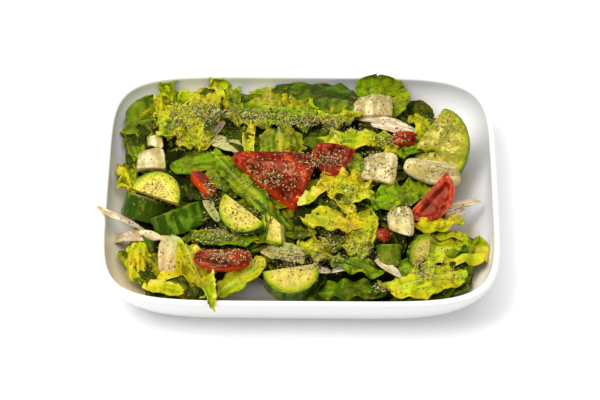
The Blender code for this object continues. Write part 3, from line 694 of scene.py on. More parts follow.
def add_leaf(bundles, path, width, look, seed, tone=0.0, rib=0.0, pale=0.0, free=False, **shape):
    """A crinkled leaf of that look. tone is added to the look's own, rib is the width of a pale
    middle rib, pale bleaches the leaf towards its start."""
    kind = LOOKS[look]
    grid, share, side, u, v = strip_grid(path, width, seed, free=free, **shape)
    edge = side ** 2 * np.ones_like(share)
    lip = np.sign(side) * LIP

    def rough(size, step, along=u, across=v):
        """Noise of the leaf's own, another for each step from its seed."""
        return flat_noise(along, across, size, seed + step)

    torn = rough(7.0, 5, u, lip) + 0.8 * rough(2.2, 6, u, lip)
    outward = grid - grid[:, grid.shape[1] // 2][:, None]
    grid = grid + outward * (kind.torn * torn * edge)[..., None]
    for end, before, inner in ((0, 1, 0.18), (-1, -2, 0.82)):
        notch = width * 0.16 * rough(4.0, 7, v, end * 7.0) * smooth_step(inner, -end, share)
        grid = grid + unit(grid[end] - grid[before]) * notch[..., None]
    net, fine = rough(kind.blister, 0), rough(kind.blister * 0.42, 1)
    bulge = np.minimum(np.abs(net) * 2.4, 1) ** 0.8 + 0.35 * np.minimum(np.abs(fine) * 2.4, 1) - 0.7
    wave = rough(7.0, 2, u, lip) + 0.5 * rough(3.2, 12, u, lip)
    lines = rough(2.2, 15, u * 0.22, v * (1 + 0.3 * share))
    pleat = 0.8 * rough(5.5, 9, u * 0.3) + 0.34 * lines
    relief = kind.crinkle * bulge + kind.ruffle * wave * edge + kind.pleat * pleat + 1.2 * rough(14.0, 3)
    middle = nerve = np.zeros_like(v)
    if rib:
        middle = np.exp(-(v / rib) ** 2)
        slant = np.mod(u + 0.8 * np.abs(v) + 1.2 * net, NERVE_SPACING) - NERVE_SPACING / 2
        nerve = 0.7 * np.exp(-(slant / 0.5) ** 2)
    relief = relief * (1 - 0.8 * middle) + 0.5 * middle
    grid = grid + grid_normals(grid) * relief[..., None]
    if not free:
        grid = kept_in_dish(grid)
    vein = np.clip(kind.veins * (0.5 * np.exp(-(net / 0.07) ** 2) + nerve) + middle, 0, 1)
    patches = rough(11.0, 4) + 0.5 * rough(4.5, 8)
    # The tone is lighter on the blisters' tops and darker in the grooves between them, and follows the pleat
    # lines: painted light and shade on their relief.
    tones = (kind.tone + tone + kind.spread * patches + 0.20 * bulge + pale * (1 - share)
             + 0.07 * kind.pleat * lines + 0.08 * (edge - 0.3) * (kind.tone > LIGHT_TONE))
    sheet = closed_sheet(grid, kind.thick * (1 - 0.5 * edge) + 1.2 * middle)
    bundles.setdefault(kind.piece, Bundle()).add(
        *sheet, tone=on_both_faces(tones, grid), vein=on_both_faces(vein, grid))


# start, middle, end, width, look, then what differs from a plain leaf. The order and the paths
# are those of the solid heap.
LEAVES = [
    # back left
    ((-104, 88, 3), (-104, 68, 5), (-103, 47, 3), 20, "bright", dict(blunt=6, cup=-0.15, tone=-0.13)),
    ((-118, 52, 1), (-107, 50, 3), (-96, 42, 2), 11, "green", dict(frill=1.4, tone=0.1)),
    ((-82, 76, 4), (-87, 88, 9), (-93, 97, 12), 10, "frilly", dict(frill=1.5)),
    ((-91, 88, 2), (-91, 74, 4), (-94, 56, 2), 7, "yellow", dict(tone=0.06)),
    ((-86, 87, 5), (-82, 62, 10), (-78, 38, 6), 24, "frilly", dict(frill=4, blunt=4, rib=1.0, tone=0.05)),
    ((-64, 90, 6), (-65, 60, 10), (-68, 24, 5), 27, "frilly", dict(frill=4, blunt=4, tone=0.05)),
    ((-50, 76, 5), (-53, 90, 10), (-60, 99, 14), 14, "frilly", dict(frill=2, pale=0.2)),
    ((-43, 88, 3), (-44, 66, 6), (-39, 44, 4), 13, "lime", dict(frill=2, roll=-20, tone=-0.1)),
    ((-111, 45, 0), (-105, 33, 2), (-103, 21, 1), 11, "green", dict(frill=1)),
    ((-114, 25, 1), (-110, 12, 3), (-107, -1, 2), 12, "frilly", dict(frill=2)),
    # left, towards the middle
    ((-83, 15, 3), (-69, 14, 7), (-54, 15, 4), 16, "bright", dict(cup=-0.4, tone=-0.05)),
    ((-57, 20, 4), (-43, 2, 6), (-17, -31, 3), 15, "green", dict(cup=-0.15, frill=1, rib=0.8, tone=-0.01)),
    ((-62, 36, 2), (-50, 28, 5), (-37, 21, 3), 11, "pale", dict(tone=-0.05)),
    ((-47, 57, 11), (-56, 50, 13), (-60, 38, 9), 8, "spinach", dict(roll=25, tone=-0.2, free=True)),
    ((-60, -8, 2), (-57, -21, 4), (-50, -35, 3), 6, "pale", dict()),
    # the middle of the back
    ((-21, 93, 5), (-20, 76, 10), (-18, 57, 7), 28, "lime", dict(cup=-0.2, blunt=5, rib=1.0, tone=-0.07)),
    ((-18, 92, 4), (9, 86, 9), (34, 70, 6), 24, "spinach", dict(cup=-0.25, blunt=4, frill=1.5, tone=-0.15)),
    ((-5, 95, 9), (1, 68, 10), (10, 46, 7), 13, "frilly", dict(frill=3, tone=-0.07)),
    ((7, 53, 6), (23, 50, 9), (39, 57, 8), 13, "frilly", dict(frill=2.5)),
    ((6, 70, 2), (20, 66, 5), (36, 60, 2), 16, "spinach", dict(cup=-0.3, tone=-0.04)),
    ((-41, 52, 3), (-16, 52, 7), (12, 44, 5), 20, "green", dict(frill=2, tone=0.06)),
    ((-14, 43, 2), (-13, 28, 9), (-12, 11, 6), 33, "lime", dict(cup=-0.3, tone=-0.11, rib=0.9)),
    ((-30, 43, 3), (-33, 28, 7), (-31, 12, 5), 7, "yellow", dict()),
    ((11, 25, 1), (28, 29, 6), (48, 30, 4), 15, "lime", dict(frill=2, tone=0.1)),
    ((24, 30, 2), (22, 22, 8), (29, 12, 4), 9, "yellow", dict(roll=30, tone=0.1)),
    ((34, 22, 0), (35, 10, 3), (36, -1, 0), 10, "green", dict()),
    # back right
    ((49, 101, 15), (52, 80, 4), (60, 54, -1), 34, "bright", dict(cup=0.2, tone=0.02, free=True, least=0.12)),
    ((36, 84, 0), (49, 84, 4), (62, 78, 0), 16, "spinach", dict(tone=-0.05)),
    ((70, 26, 8), (84, 31, 12), (99, 25, 9), 16, "frilly", dict(frill=2.5, tone=-0.16)),
    ((73, 56, 9), (79, 46, 12), (84, 34, 10), 12, "frilly", dict(frill=2, tone=-0.12)),
    ((60, 25, 2), (68, 24, 4), (77, 29, 3), 10, "green", dict(frill=2)),
    ((43, 31, 4), (52, 29, 6), (61, 23, 3), 13, "lime", dict(frill=2)),
    # front right
    ((82, -1, 3), (62, -12, 8), (42, -22, 4), 20, "green", dict(frill=2.5, tone=0.08)),
    ((70, -34, 1), (86, -31, 5), (102, -22, 4), 10, "yellow", dict(frill=1.5, tone=-0.06)),
    ((70, -50, 3), (94, -47, 9), (119, -41, 9), 23, "romaine", dict(frill=3, tone=0.08, rib=1.0)),
    ((56, -77, 1), (80, -68, 6), (104, -61, 5), 22, "olive", dict(cup=-0.15, frill=1.5, rib=0.9, tone=0.09)),
    ((48, -73, 1), (64, -75, 3), (81, -79, 2), 8, "romaine", dict(frill=1, tone=0.08)),
    ((85, -40, 4), (96, -37, 7), (105, -36, 5), 8, "lime", dict(frill=1, tone=0.1)),
    ((64, -58, 2), (66, -64, 4), (66, -71, 1), 9, "spinach", dict(tone=0.1)),
    # front middle
    ((14, -4, 5), (30, -10, 10), (48, -14, 6), 20, "yellow", dict(frill=4)),
    ((17, -6, 8), (24, -19, 10), (37, -35, 6), 8, "yellow", dict(tone=0.04)),
    ((2, -31, 4), (18, -34, 9), (36, -39, 6), 16, "yellow", dict(frill=1.5, rib=0.8)),
    ((39, -26, 4), (38, -42, 7), (35, -60, 4), 20, "olive", dict(frill=2)),
    ((1, -49, 3), (10, -54, 6), (21, -61, 3), 13, "frilly", dict(frill=3)),
    ((-22, -53, 6), (-10, -55, 10), (4, -58, 7), 14, "pale", dict(blunt=4, tone=-0.15)),
    ((20, -60, 3), (36, -64, 5), (52, -66, 3), 13, "green", dict(frill=1.5)),
    ((12, -78, 2), (30, -77, 5), (51, -76, 3), 14, "spinach", dict(frill=2.5)),
    ((-2, -24, 3), (9, -17, 5), (17, -8, 3), 9, "yellow", dict(tone=0.14)),
    # front left
    ((-73, -44, 3), (-50, -46, 7), (-26, -48, 4), 11, "green", dict(frill=1)),
    ((-72, -50, 3), (-64, -64, 6), (-56, -80, 4), 18, "romaine", dict(frill=2.5, tone=0.0, rib=0.8)),
    ((-57, -70, -1), (-54, -78, 11.5), (-52, -88, 10.5), 8, "frilly", dict(free=True, taper=-0.6, tone=0.06)),
    ((-51, -79, 2), (-38, -72, 5), (-22, -61, 4), 14, "romaine", dict(frill=1.5, tone=0.08, rib=1.2)),
    ((-98, -42, 3), (-98, -56, 5), (-97, -70, 1), 21, "romaine", dict(cup=-0.3, blunt=4, tone=0.04)),
    ((-80, -42, 4), (-81, -54, 6), (-81, -66, 3), 12, "pale", dict(blunt=6, tone=0.25)),
    ((-74, -46, 4), (-73, -57, 6), (-76, -69, 3), 6, "romaine", dict(tone=0.10)),
    ((-95, -68, 3), (-84, -67, 5), (-73, -66, 3), 6, "romaine", dict(tone=0.16)),
    ((-97, -71, 0), (-84, -74, 1), (-71, -78, 0), 9, "romaine", dict(tone=0.10)),
]

# Leaves under and between those: what they look like, how many lie inside the heap and within
# which half length and width, how much lower they lie towards the edge, and the rest at the back,
# where nothing else covers the core: x, y
FILL_LOOKS = ["spinach", "green", "green", "green", "lime", "frilly"]
FILL_COUNT = 120
FILL_LENGTH, FILL_WIDTH = 92, 66
FILL_DEPTH = 2.0
BACK_FILL = [(50, 63), (62, 66), (75, 60), (87, 52), (70, 48), (92, 40)]
BACK_LIFT = -6
# And along the wall: how many, how far in from the rim, how much closer to it in front of what y,
# and where there are none: x from, to, y from, to
WALL_COUNT = 80
EDGE_FILL = 24.0
FRONT_FILL = 10.0
FRONT_FROM = -60
BARE_WALL = [(30, 125, -40, 94), (-125, -60, -50, 0), (-66, -14, -94, -60)]


def add_fill_leaf(bundles, draw, x, y, way, lift, seed):
    """One leaf close to the core, of a look drawn from those, darker than the leaves over it as painted
    shade.
    """
    reach = draw.uniform(9, 15)
    dx, dy = math.cos(way) * reach, math.sin(way) * reach
    bend = draw.uniform(-0.3, 0.3)
    path = ((x - dx, y - dy, lift + draw.uniform(-2, 1)),
            (x - dy * bend, y + dx * bend, lift + draw.uniform(0, 2)),
            (x + dx, y + dy, lift + draw.uniform(-2, 1)))
    # Their tone is pushed well below their look's: painted shade under the leaves over them and in the gaps.
    add_leaf(bundles, path, draw.uniform(11, 18), draw.choice(FILL_LOOKS), seed, cup=draw.uniform(-0.3, 0.2),
             roll=draw.uniform(-18, 18), tone=draw.uniform(-0.44, -0.14), cell=FILL_CELL)


def add_fill_leaves(bundles):
    draw = random.Random(11)
    for number in range(FILL_COUNT):
        angle = draw.uniform(0, TURN)
        out = draw.uniform(0.01, 1.0) ** 0.5
        x, y = FILL_LENGTH * out * math.cos(angle), FILL_WIDTH * out * math.sin(angle)
        lift = draw.uniform(-7, -3) - FILL_DEPTH * out
        add_fill_leaf(bundles, draw, x, y, draw.uniform(0, TURN), lift, 200 + number * 1.3)
    for number, (x, y) in enumerate(BACK_FILL):
        add_fill_leaf(bundles, draw, x, y, draw.uniform(0, TURN), BACK_LIFT, 400 + number * 1.7)
    for number, (x, y) in enumerate(outline(EDGE_FILL, WALL_COUNT)):
        if any(x0 < x < x1 and y0 < y < y1 for x0, x1, y0, y1 in BARE_WALL):
            continue
        if y < FRONT_FROM:
            y -= FRONT_FILL
        way = math.atan2(y * 1.3, x) + math.pi / 2 + draw.uniform(-0.6, 0.6)
        add_fill_leaf(bundles, draw, x + draw.uniform(-5, 5), y + draw.uniform(-3, 5), way,
                      draw.uniform(-5, -2), 500 + number * 1.9)


# Each piece's material, roughness, share of light let through, strength of veins, hue and colours
LEAF_PAINTS = {
    "smooth_leaves": ("smooth_leaf", 0.36, 0.10, 0.35, (0.72, 1.04, 0.8), LEAF_STOPS),
    "green_leaves": ("green_leaf", 0.40, 0.15, 0.45, (0.78, 1.04, 0.8), LEAF_STOPS),
    "lime_leaves": ("lime_leaf", 0.40, 0.20, 0.55, (1.0, 1.0, 0.9), LEAF_STOPS),
    "frilly_leaves": ("frilly_leaf", 0.42, 0.22, 0.50, (0.97, 1.04, 1.0), LEAF_STOPS),
    "yellow_leaves": ("yellow_leaf", 0.42, 0.24, 0.50, (1.08, 1.03, 1.0), LEAF_STOPS),
    "pale_pieces": ("pale_leaf", 0.34, 0.20, 0.10, (1.0, 0.99, 0.86), PALE_STOPS),
}


def make_leaves():
    bundles = {}
    for number, (*path, width, look, detail) in enumerate(LEAVES):
        add_leaf(bundles, path, width, look, number * LEAF_SEED, **detail)
    add_fill_leaves(bundles)
    return [add_piece(name, bundle, leaf_paint(*LEAF_PAINTS[name]), "lettuce", "salad")
            for name, bundle in bundles.items()]


# ---- onion slivers and ribs
OVER_RIM = 0  # the number of the onion sliver that lies over the rim
ONIONS = [
    ((-127, -9, 15), (-112, -20, 11), (-95, -37, -13), 4),  # over the rim
    ((-119, -36, 4), (-104, -37, 6), (-86, -43, 2), 9),
    ((34, 52, 8), (54, 49, 11), (76, 40, 7), 7),
    ((44, 45, 6), (58, 42, 8), (75, 36, 5), 5),
    ((93, -16, 2), (104, -10, 6), (114, -4, 8), 5),
    ((91, -24, 2), (98, -20, 4), (103, -14, 3), 8),
    ((47, -60, 4), (55, -64, 7), (63, -69, 4), 6),
    ((1, -65, 5), (10, -66, 8), (20, -67, 5), 5),
    ((20, -67, 4), (27, -65, 7), (35, -64, 4), 5),
    ((-56, 33, 3), (-53, 40, 6), (-49, 47, 4), 5),
]


def make_onions():
    bundle = Bundle()
    for number, (*path, width) in enumerate(ONIONS):
        seed = number * ONION_SEED
        grid, share, side, u, v = strip_grid(path, width, seed, blunt=2, cup=0.3, cell=0.4,
                                             free=number == OVER_RIM)
        lines = flat_noise(u / 9, v, 0.9, seed)
        grid = grid + grid_normals(grid) * (0.12 * lines + 0.3 * flat_noise(u, v, 9.0, seed + 1))[..., None]
        if number != OVER_RIM:
            grid = kept_in_dish(grid)
        sheet = closed_sheet(grid, 1.3 * (1 - 0.55 * side ** 2 * np.ones_like(share)))
        bundle.add(*sheet, line=on_both_faces(0.5 + 0.6 * lines, grid))
    paint = pale_paint("onion_flesh", (0.60, 0.45, 0.29), (0.85, 0.73, 0.55), 0.24)
    return add_piece("onion_slivers", bundle, paint, "rib", "salad")


# Path, width, thickness and what differs from a plain strip
RIBS = [
    (((-96, 32, 2), (-95, 23, 4), (-95, 15, 4)), 18, 5, dict(blunt=12, cup=-0.1, taper=0.08)),
    (((-94, 43, 2), (-93, 36, 3), (-93, 31, 1)), 10, 4, dict(blunt=8, cup=-0.1)),
    (((45, 85, 13), (45, 71, 11), (45, 55, 5)), 28, 6, dict(blunt=12, cup=-0.12)),
    (((50, 20, 3), (50, 9, 5), (48, -3, 4)), 22, 6, dict(blunt=12, cup=-0.12)),
    (((66, 14, 4), (84, 12, 7.5), (101, 15.5, 6.5)), 15, 4, dict(blunt=5, cup=-0.2, roll=8, taper=0.25)),
    (((61, -22, 3), (63, -32, 6), (62, -42, 4)), 16, 4, dict(blunt=8, cup=-0.2)),
]
RIB_SEED = 5  # the seed before the first rib's


def chunk(name, slot, paint, seed, path, width, thick, blunt, roll=0.0, taper=0.0, grooves=0.08,
          crease=-0.2, slope=0.22, values=None, **shape):
    """A thick piece with rounded edges and grooves along it, which stands for the node of its name.
    Beyond the crease, at that share of the half width, it falls away by that slope."""
    grid, share, side, u, v = strip_grid(path, width, seed, blunt, roll=roll, taper=taper, ragged=0.05,
                                         cell=0.6, full_ends=True, free=True, **shape)
    normal = np.broadcast_to(spine(path, share[:, 0], roll)[2][:, None], grid.shape)
    lines = flat_noise(u / 7, v, 2.4, seed) + 0.5 * flat_noise(u / 4, v, 1.1, seed + 1)
    along = 2 * share - 1
    rim = smooth_step(0.90, 1.02, squarish(along, 2 * v / (width * (1 + taper * along)), blunt)) ** 2
    bend = v - crease * width / 2 - 0.05 * u + 0.8 * flat_noise(u, 0.0, 9.0, seed + 5)
    uneven = grooves * lines + 0.35 * flat_noise(u, v, 7.0, seed + 2)
    from_end = np.minimum(u, u[-1] - u)
    relief = uneven * smooth_step(0, 1.5, from_end) - slope * np.maximum(bend, 0) - thick * 0.16 * rim
    grid = grid + normal * relief[..., None]
    given = {key: on_both_faces(value(u, v, share, side), grid) for key, value in (values or {}).items()}
    bundle = Bundle()
    bundle.add(*closed_sheet(grid, thick * (1 - 0.4 * rim), normal),
               line=on_both_faces(0.5 + 0.5 * lines, grid), **given)
    return add_piece(name + "_piece", bundle, paint, slot, name)


def make_ribs():
    paint = pale_paint("rib_flesh", (0.50, 0.39, 0.16), (0.80, 0.70, 0.39), 0.32)
    return [chunk(f"rib_{number}", "rib", paint, RIB_SEED + number, *place, **detail)
            for number, (*place, detail) in enumerate(RIBS, 1)]


# ---- cucumber and tomato
def facing(azimuth, elevation, spin=0.0):
    """A turn that takes +Z to that direction, with +X level before the spin about it, in degrees."""
    a, e = math.radians(azimuth), math.radians(elevation)
    out = Vector((math.cos(e) * math.cos(a), math.cos(e) * math.sin(a), math.sin(e)))
    level = Vector((-math.sin(a), math.cos(a), 0))
    turn = Matrix((level, out.cross(level), out)).transposed()
    return np.array(turn @ Matrix.Rotation(math.radians(spin), 3, "Z"))


# Place, arc, azimuth, elevation, radius, thickness and what differs from a plain slice
CUCUMBERS = [
    ((-91, -10.5, 11.8), (19, 191), -130, 66, 17.5, 7, dict()),
    ((-95, -10, -10), (10, 170), 68, 40, 15.5, 14, dict()),
    ((-76, -21.5, -13), (5, 170), 118, 38, 21, 15, dict()),
    ((-34, -27, 6), (150, 330), -100, 74, 16, 9, dict(olive=0.2)),
    ((-12, -38, 1), (190, 330), -150, 60, 14, 8, dict()),
    ((-5, -66, 2), (176, 366), -80, 86, 17.5, 11, dict(olive=0.25)),
    ((87, 31, 4), (-152, 93), -104, 60, 20.5, 8, dict(stretch=1.25, olive=0.85)),
    ((55, -50, -4), (20, 160), 92, 36, 8, 13, dict(peel=0.6)),
    ((80, -54, 0), (60, 200), -60, 50, 13, 5, dict(olive=0.3)),
]
HALF_CUT = 170.0  # a shorter arc than this runs in to the slice's middle
CUT_STEP = 0.5  # between the points round a slice, the rings of its face and those up its side
FACE_STEP = 0.55
SIDE_STEP = 0.9
CUT_EDGE = 0.7  # the rounding of a slice's edge


def slice_outline(arc, radius, stretch):
    """(points round a slice, 1 on its skin and 0 on its cut, angle) with the cut closed by lines."""
    start, end = np.radians(arc)
    angle = np.linspace(start, end, round((end - start) * radius / CUT_STEP) + 1)
    skin_part = np.stack([radius * np.cos(angle), radius * stretch * np.sin(angle)], -1)
    corners = [skin_part[-1], skin_part[0]]
    if arc[1] - arc[0] < HALF_CUT:
        corners.insert(1, np.zeros(2))
    cut = [np.linspace(a, b, max(4, round(np.linalg.norm(b - a) / CUT_STEP)) + 1)[1:]
           for a, b in zip(corners, corners[1:])]
    cut = np.concatenate(cut)[:-1]
    skin = np.repeat((1.0, 0.0), (len(skin_part), len(cut)))
    around = np.concatenate([angle, np.full(len(cut), start)])
    return np.concatenate([skin_part, cut]), skin, around


def seed_pattern(flat, radius, stretch, seed):
    """(how much seed, how much gel) at places of a cucumber's face: three chambers of seeds."""
    draw = random.Random(seed)
    seeds = gel = np.zeros(flat.shape[:-1])
    for chamber in range(3):
        for k in range(9):
            angle = TURN * chamber / 3 + 0.5 + (k % 5 - 2) * 0.30 + draw.uniform(-0.06, 0.06)
            out = radius * (0.34 + 0.17 * (k // 5) + draw.uniform(-0.04, 0.04))
            c, s = math.cos(angle), math.sin(angle)
            offset = flat - (out * c, out * stretch * s)
            along, across = offset @ (c, s), offset @ (-s, c)
            seeds = np.maximum(seeds, np.exp(-(along / 1.7) ** 4 - (across / 0.75) ** 4))
            gel = np.maximum(gel, np.exp(-(along / 3.0) ** 2 - (across / 1.7) ** 2))
    return seeds, gel * (1 - seeds)


def make_slice(number, paint, place, arc, azimuth, elevation, radius, thick, stretch=1.0, olive=0.0,
               peel=0.0):
    """A piece of a cucumber slice; peel is the share of its skin's green that is gone."""
    points, skin, around = slice_outline(arc, radius, stretch)
    hub = points.mean(0)
    shrink = 1 - CUT_EDGE / radius
    # Each ring's share of the outline, height, share of skin, and 1 on the upper face, -1 on the lower
    levels = [(share, -thick, 0, -1) for share in (0.05, 0.3, 0.6, 0.85, shrink)]
    levels += [(1, height, 1, 0) for height in
               np.linspace(CUT_EDGE - thick, -0.4 * CUT_EDGE, max(5, round(thick / SIDE_STEP)))]
    levels += [(1 - 0.25 * CUT_EDGE / radius, -0.12 * CUT_EDGE, 0.9, 0)]
    levels += [(share, 0, 0, 1) for share in np.linspace(shrink, 0.04, round(radius / FACE_STEP))]
    share, height, on_skin, face = np.array(levels, float).T[..., None]
    flat = hub + (points - hub) * share[..., None]
    x, y = np.moveaxis(flat, -1, 0)
    seeds, gel = seed_pattern(flat, radius, stretch, number)
    uneven = 0.35 * flat_noise(x, y, 6.0, number) + 0.10 * flat_noise(x, y, 1.6, number + 1)
    z = height + face * (uneven + 0.14 * seeds - 0.22 * gel)
    ridge = 0.18 * flat_noise(around * radius, z * 0.15, 2.2, number + 2) * (face == 0)
    stripes = 0.5 + 0.8 * flat_noise(around * radius, z * 0.12, 2.6, number + 3)
    rings = np.dstack([flat + ridge[..., None] * points / radius, z])
    values = dict(radius=np.hypot(x, y / stretch) / radius, skin=on_skin * skin * (1 - peel), seed=seeds,
                  gel=gel, line=stripes)
    bundle = Bundle()
    bundle.add(*lofted(rings @ facing(azimuth, elevation).T + np.array(on_heap(*place))), olive=olive,
               **{key: with_hubs(value) for key, value in values.items()})
    name = f"cucumber_{number + 1}"
    return add_piece(name + "_slice", bundle, paint, "cucumber", name, sharp=55)


# Place, radius, half height, angle, azimuth, elevation and spin
WEDGES = {
    "tomato_2": ((30, 6, 1), 25, 12, 80, -60, 68, 128),
    "tomato_5": ((79, -9, 7), 17, 18.5, 75, -110, 66, -24),
}
WEDGE_LEVELS = 56
WEDGE_STEPS = 26  # across each cut face
WEDGE_TURN = 2.5  # degrees between points round the skin, of which there are at least 12
POLE = 0.03  # how far from the poles the first and last rings lie, in radians
# Path, width, thickness and what differs from a plain strip
TOMATO_STRIPS = {
    "tomato_1": (((-43, 16, 8), (-18, 6, 10), (6, -5, 8)), 26, 14,
                 dict(blunt=6, cup=-0.3, roll=12, taper=0.75, crease=-0.1, slope=0.35)),
    "tomato_3": (((-67, 7, 4), (-59, -3, 6), (-53, -14, 4)), 8, 6, dict(blunt=3, roll=-25)),
    "tomato_4": (((-65, -57, 4), (-47, -60, 6), (-29, -58, 4)), 13, 6, dict(blunt=3, roll=22)),
    "tomato_6": (((58, 33, 2), (66, 35, 5), (74, 37, 5)), 9, 7, dict(blunt=4, roll=20)),
    "tomato_7": (((47, -42, 1), (52, -43, 2), (57, -45, 1)), 7, 5, dict(blunt=3, roll=15)),
}


def make_wedge(name, number, paint, place, radius, half_height, angle, azimuth, elevation, spin):
    """A tomato wedge: rings from pole to pole, each out along one cut face, round the skin, back."""
    round_steps = max(12, round(angle / WEDGE_TURN))
    sweep = math.radians(angle)
    out = np.concatenate([np.linspace(0, 1, WEDGE_STEPS), np.ones(round_steps),
                          np.linspace(1, 0, WEDGE_STEPS)[:-1]])
    down = np.concatenate([np.zeros(WEDGE_STEPS), np.linspace(0, sweep, round_steps + 2)[1:-1],
                           np.full(WEDGE_STEPS - 1, sweep)])
    skin = np.where(out == 1, 1.0, 0.0)
    rise = np.linspace(math.pi - POLE, POLE, WEDGE_LEVELS)[:, None]
    relative = np.sin(rise) * out
    reach = radius * relative
    x, y, z = reach * np.cos(down), half_height * np.cos(rise) * np.ones_like(reach), -reach * np.sin(down)
    chamber = smooth_step(0.82, 0.70, np.hypot(relative, 0.9 * y / half_height))
    chamber = chamber * smooth_step(0.22, 0.34, relative)
    gel = chamber * smooth_step(-0.25, 0.1, flat_noise(x + 0.3 * z, y, 9.0, number)) * (1 - skin)
    pips = smooth_step(0.35, 0.6, flat_noise(x, (y + z) * 0.3, 2.2, number + 4)) * gel
    depth = gel - 0.8 * pips - 0.6 * flat_noise(x, (y + z) * 0.35, 3.0, number + 1)
    depth = depth * (1 - skin) * (out > 0.05)
    grow = 1 + 0.025 * flat_noise(x * 0.6, y * 0.6 + z, 8.0, number + 2) * skin
    upper = down < sweep / 2
    x = x * grow + depth * np.where(upper, 0.0, np.sin(down))
    z = z * grow - depth * np.where(upper, 1.0, -np.cos(down))
    rings = np.stack([x, y, z], -1) @ facing(azimuth, elevation, spin).T + np.array(on_heap(*place))
    values = dict(skin=skin * np.ones_like(reach), gel=gel - pips * 0.8, seed=pips)
    bundle = Bundle()
    bundle.add(*lofted(rings), **{key: with_hubs(value) for key, value in values.items()})
    return add_piece(name + "_wedge", bundle, paint, "tomato", name, sharp=50)


def on_top(share, side):
    """1 over the face of a strip and 0 at its ends and sides."""
    return smooth_step(0.0, 0.06, np.minimum(share, 1 - share)) * smooth_step(0.98, 0.86, np.abs(side))


# The skin along a tomato strip's side, its wet parts and its pips, from its own coordinates
STRIP_VALUES = {
    "skin": lambda u, v, share, side: smooth_step(0.80, 0.92, side),
    "gel": lambda u, v, share, side: smooth_step(0.0, 0.3, flat_noise(u, v, 5.0)),
    "seed": lambda u, v, share, side: smooth_step(0.4, 0.6, flat_noise(u, v, 1.6, 3.0)) * on_top(share, side),
}


def make_cucumbers():
    paint = cucumber_paint()
    return [make_slice(number, paint, *place, **detail) for number, (*place, detail) in enumerate(CUCUMBERS)]


def make_tomatoes():
    paint = tomato_paint()
    made = [make_wedge(name, number, paint, *place) for number, (name, place) in enumerate(WEDGES.items())]
    for seed, (name, (*place, detail)) in enumerate(TOMATO_STRIPS.items(), 1):
        made.append(chunk(name, "tomato", paint, seed, *place, grooves=0.4, values=STRIP_VALUES, **detail))
    return made


# ---- herbs, pepper and chilli
# Where herbs lie thick: x, y, half length, half width and how many
CLUMPS = [
    (-64, 58, 20, 16, 420), (-78, 48, 12, 14, 160), (-30, 52, 18, 10, 260), (8, 46, 24, 9, 420),
    (26, 40, 12, 6, 120), (14, 10, 14, 8, 160), (-18, -2, 18, 12, 200), (-50, -45, 20, 5, 200),
    (-46, -58, 18, 6, 150), (-56, -16, 5, 14, 110), (-6, -60, 12, 6, 260), (12, -62, 12, 5, 160),
    (76, -64, 5, 7, 110), (50, -76, 5, 3, 60), (44, 4, 12, 8, 60), (60, -26, 8, 8, 60),
    (40, -52, 8, 10, 120), (56, 32, 10, 6, 110), (84, 12, 14, 5, 40), (-34, -28, 14, 14, 70),
    (-92, -4, 12, 12, 60), (-60, 30, 14, 8, 90), (30, -18, 16, 14, 120), (88, 50, 14, 20, 70),
    (20, -50, 18, 12, 260), (46, 12, 12, 10, 70), (50, 70, 14, 12, 60), (84, -62, 20, 12, 90),
]
CLUMP_SPREAD = 0.55  # how far herbs lie from a clump's middle, as a share of its half length and width
HERB_SHARE = 1.5
LOOSE_HERBS = 900
SPICES = 620
CHILLI_EVERY = 4


def heap_surface(pieces):
    """One tree to cast rays at, of all those pieces."""
    points, faces, count = [], [], 0
    for piece in pieces:
        mesh = piece.data
        flat = np.empty(len(mesh.vertices) * 3)
        mesh.vertices.foreach_get("co", flat)
        points += (flat.reshape(-1, 3) / MM).tolist()
        faces += [[count + v for v in p.vertices] for p in mesh.polygons]
        count += len(mesh.vertices)
    return BVHTree.FromPolygons(points, faces)


def landing(tree, x, y):
    """(place, normal) of what shows at a place of the dome, or None."""
    place, normal, _, _ = tree.ray_cast(on_heap(x, y, 0) + SIGHT * 60, -SIGHT)
    if place is None or abs(place.x) > HALF_LENGTH - 8 or abs(place.y) > HALF_WIDTH - 7:
        return None
    return place, normal if normal.dot(SIGHT) >= 0 else -normal


def add_flake(bundle, draw, place, normal, long, wide, thick, tone, tilt):
    """A curled crumb: a bent plate of two squares."""
    spin = Matrix.Rotation(draw.uniform(0, TURN), 3, "Z")
    lean = Matrix.Rotation(draw.gauss(0, tilt), 3, "X")
    turn = np.array(normal.to_track_quat("Z", "Y").to_matrix() @ spin @ lean)
    bend = draw.uniform(-0.2, 0.35) * long
    widths = np.array([(draw.uniform(0.3, 1), draw.uniform(0.3, 1)), (1, 1),
                       (draw.uniform(0.1, 0.9), draw.uniform(0.1, 0.9))])
    flat = np.zeros((3, 2, 3))
    flat[..., 0] = np.array([[-1], [0], [1]]) * long / 2
    flat[..., 1] = widths * (-wide / 2, wide / 2)
    flat[1, :, 2] = bend
    top = np.array(place + normal * (0.15 + abs(bend) * 0.4)) + flat[:, ::-1] @ turn.T
    bundle.add(*closed_sheet(top, thick, turn[:, 2]), tone=tone)


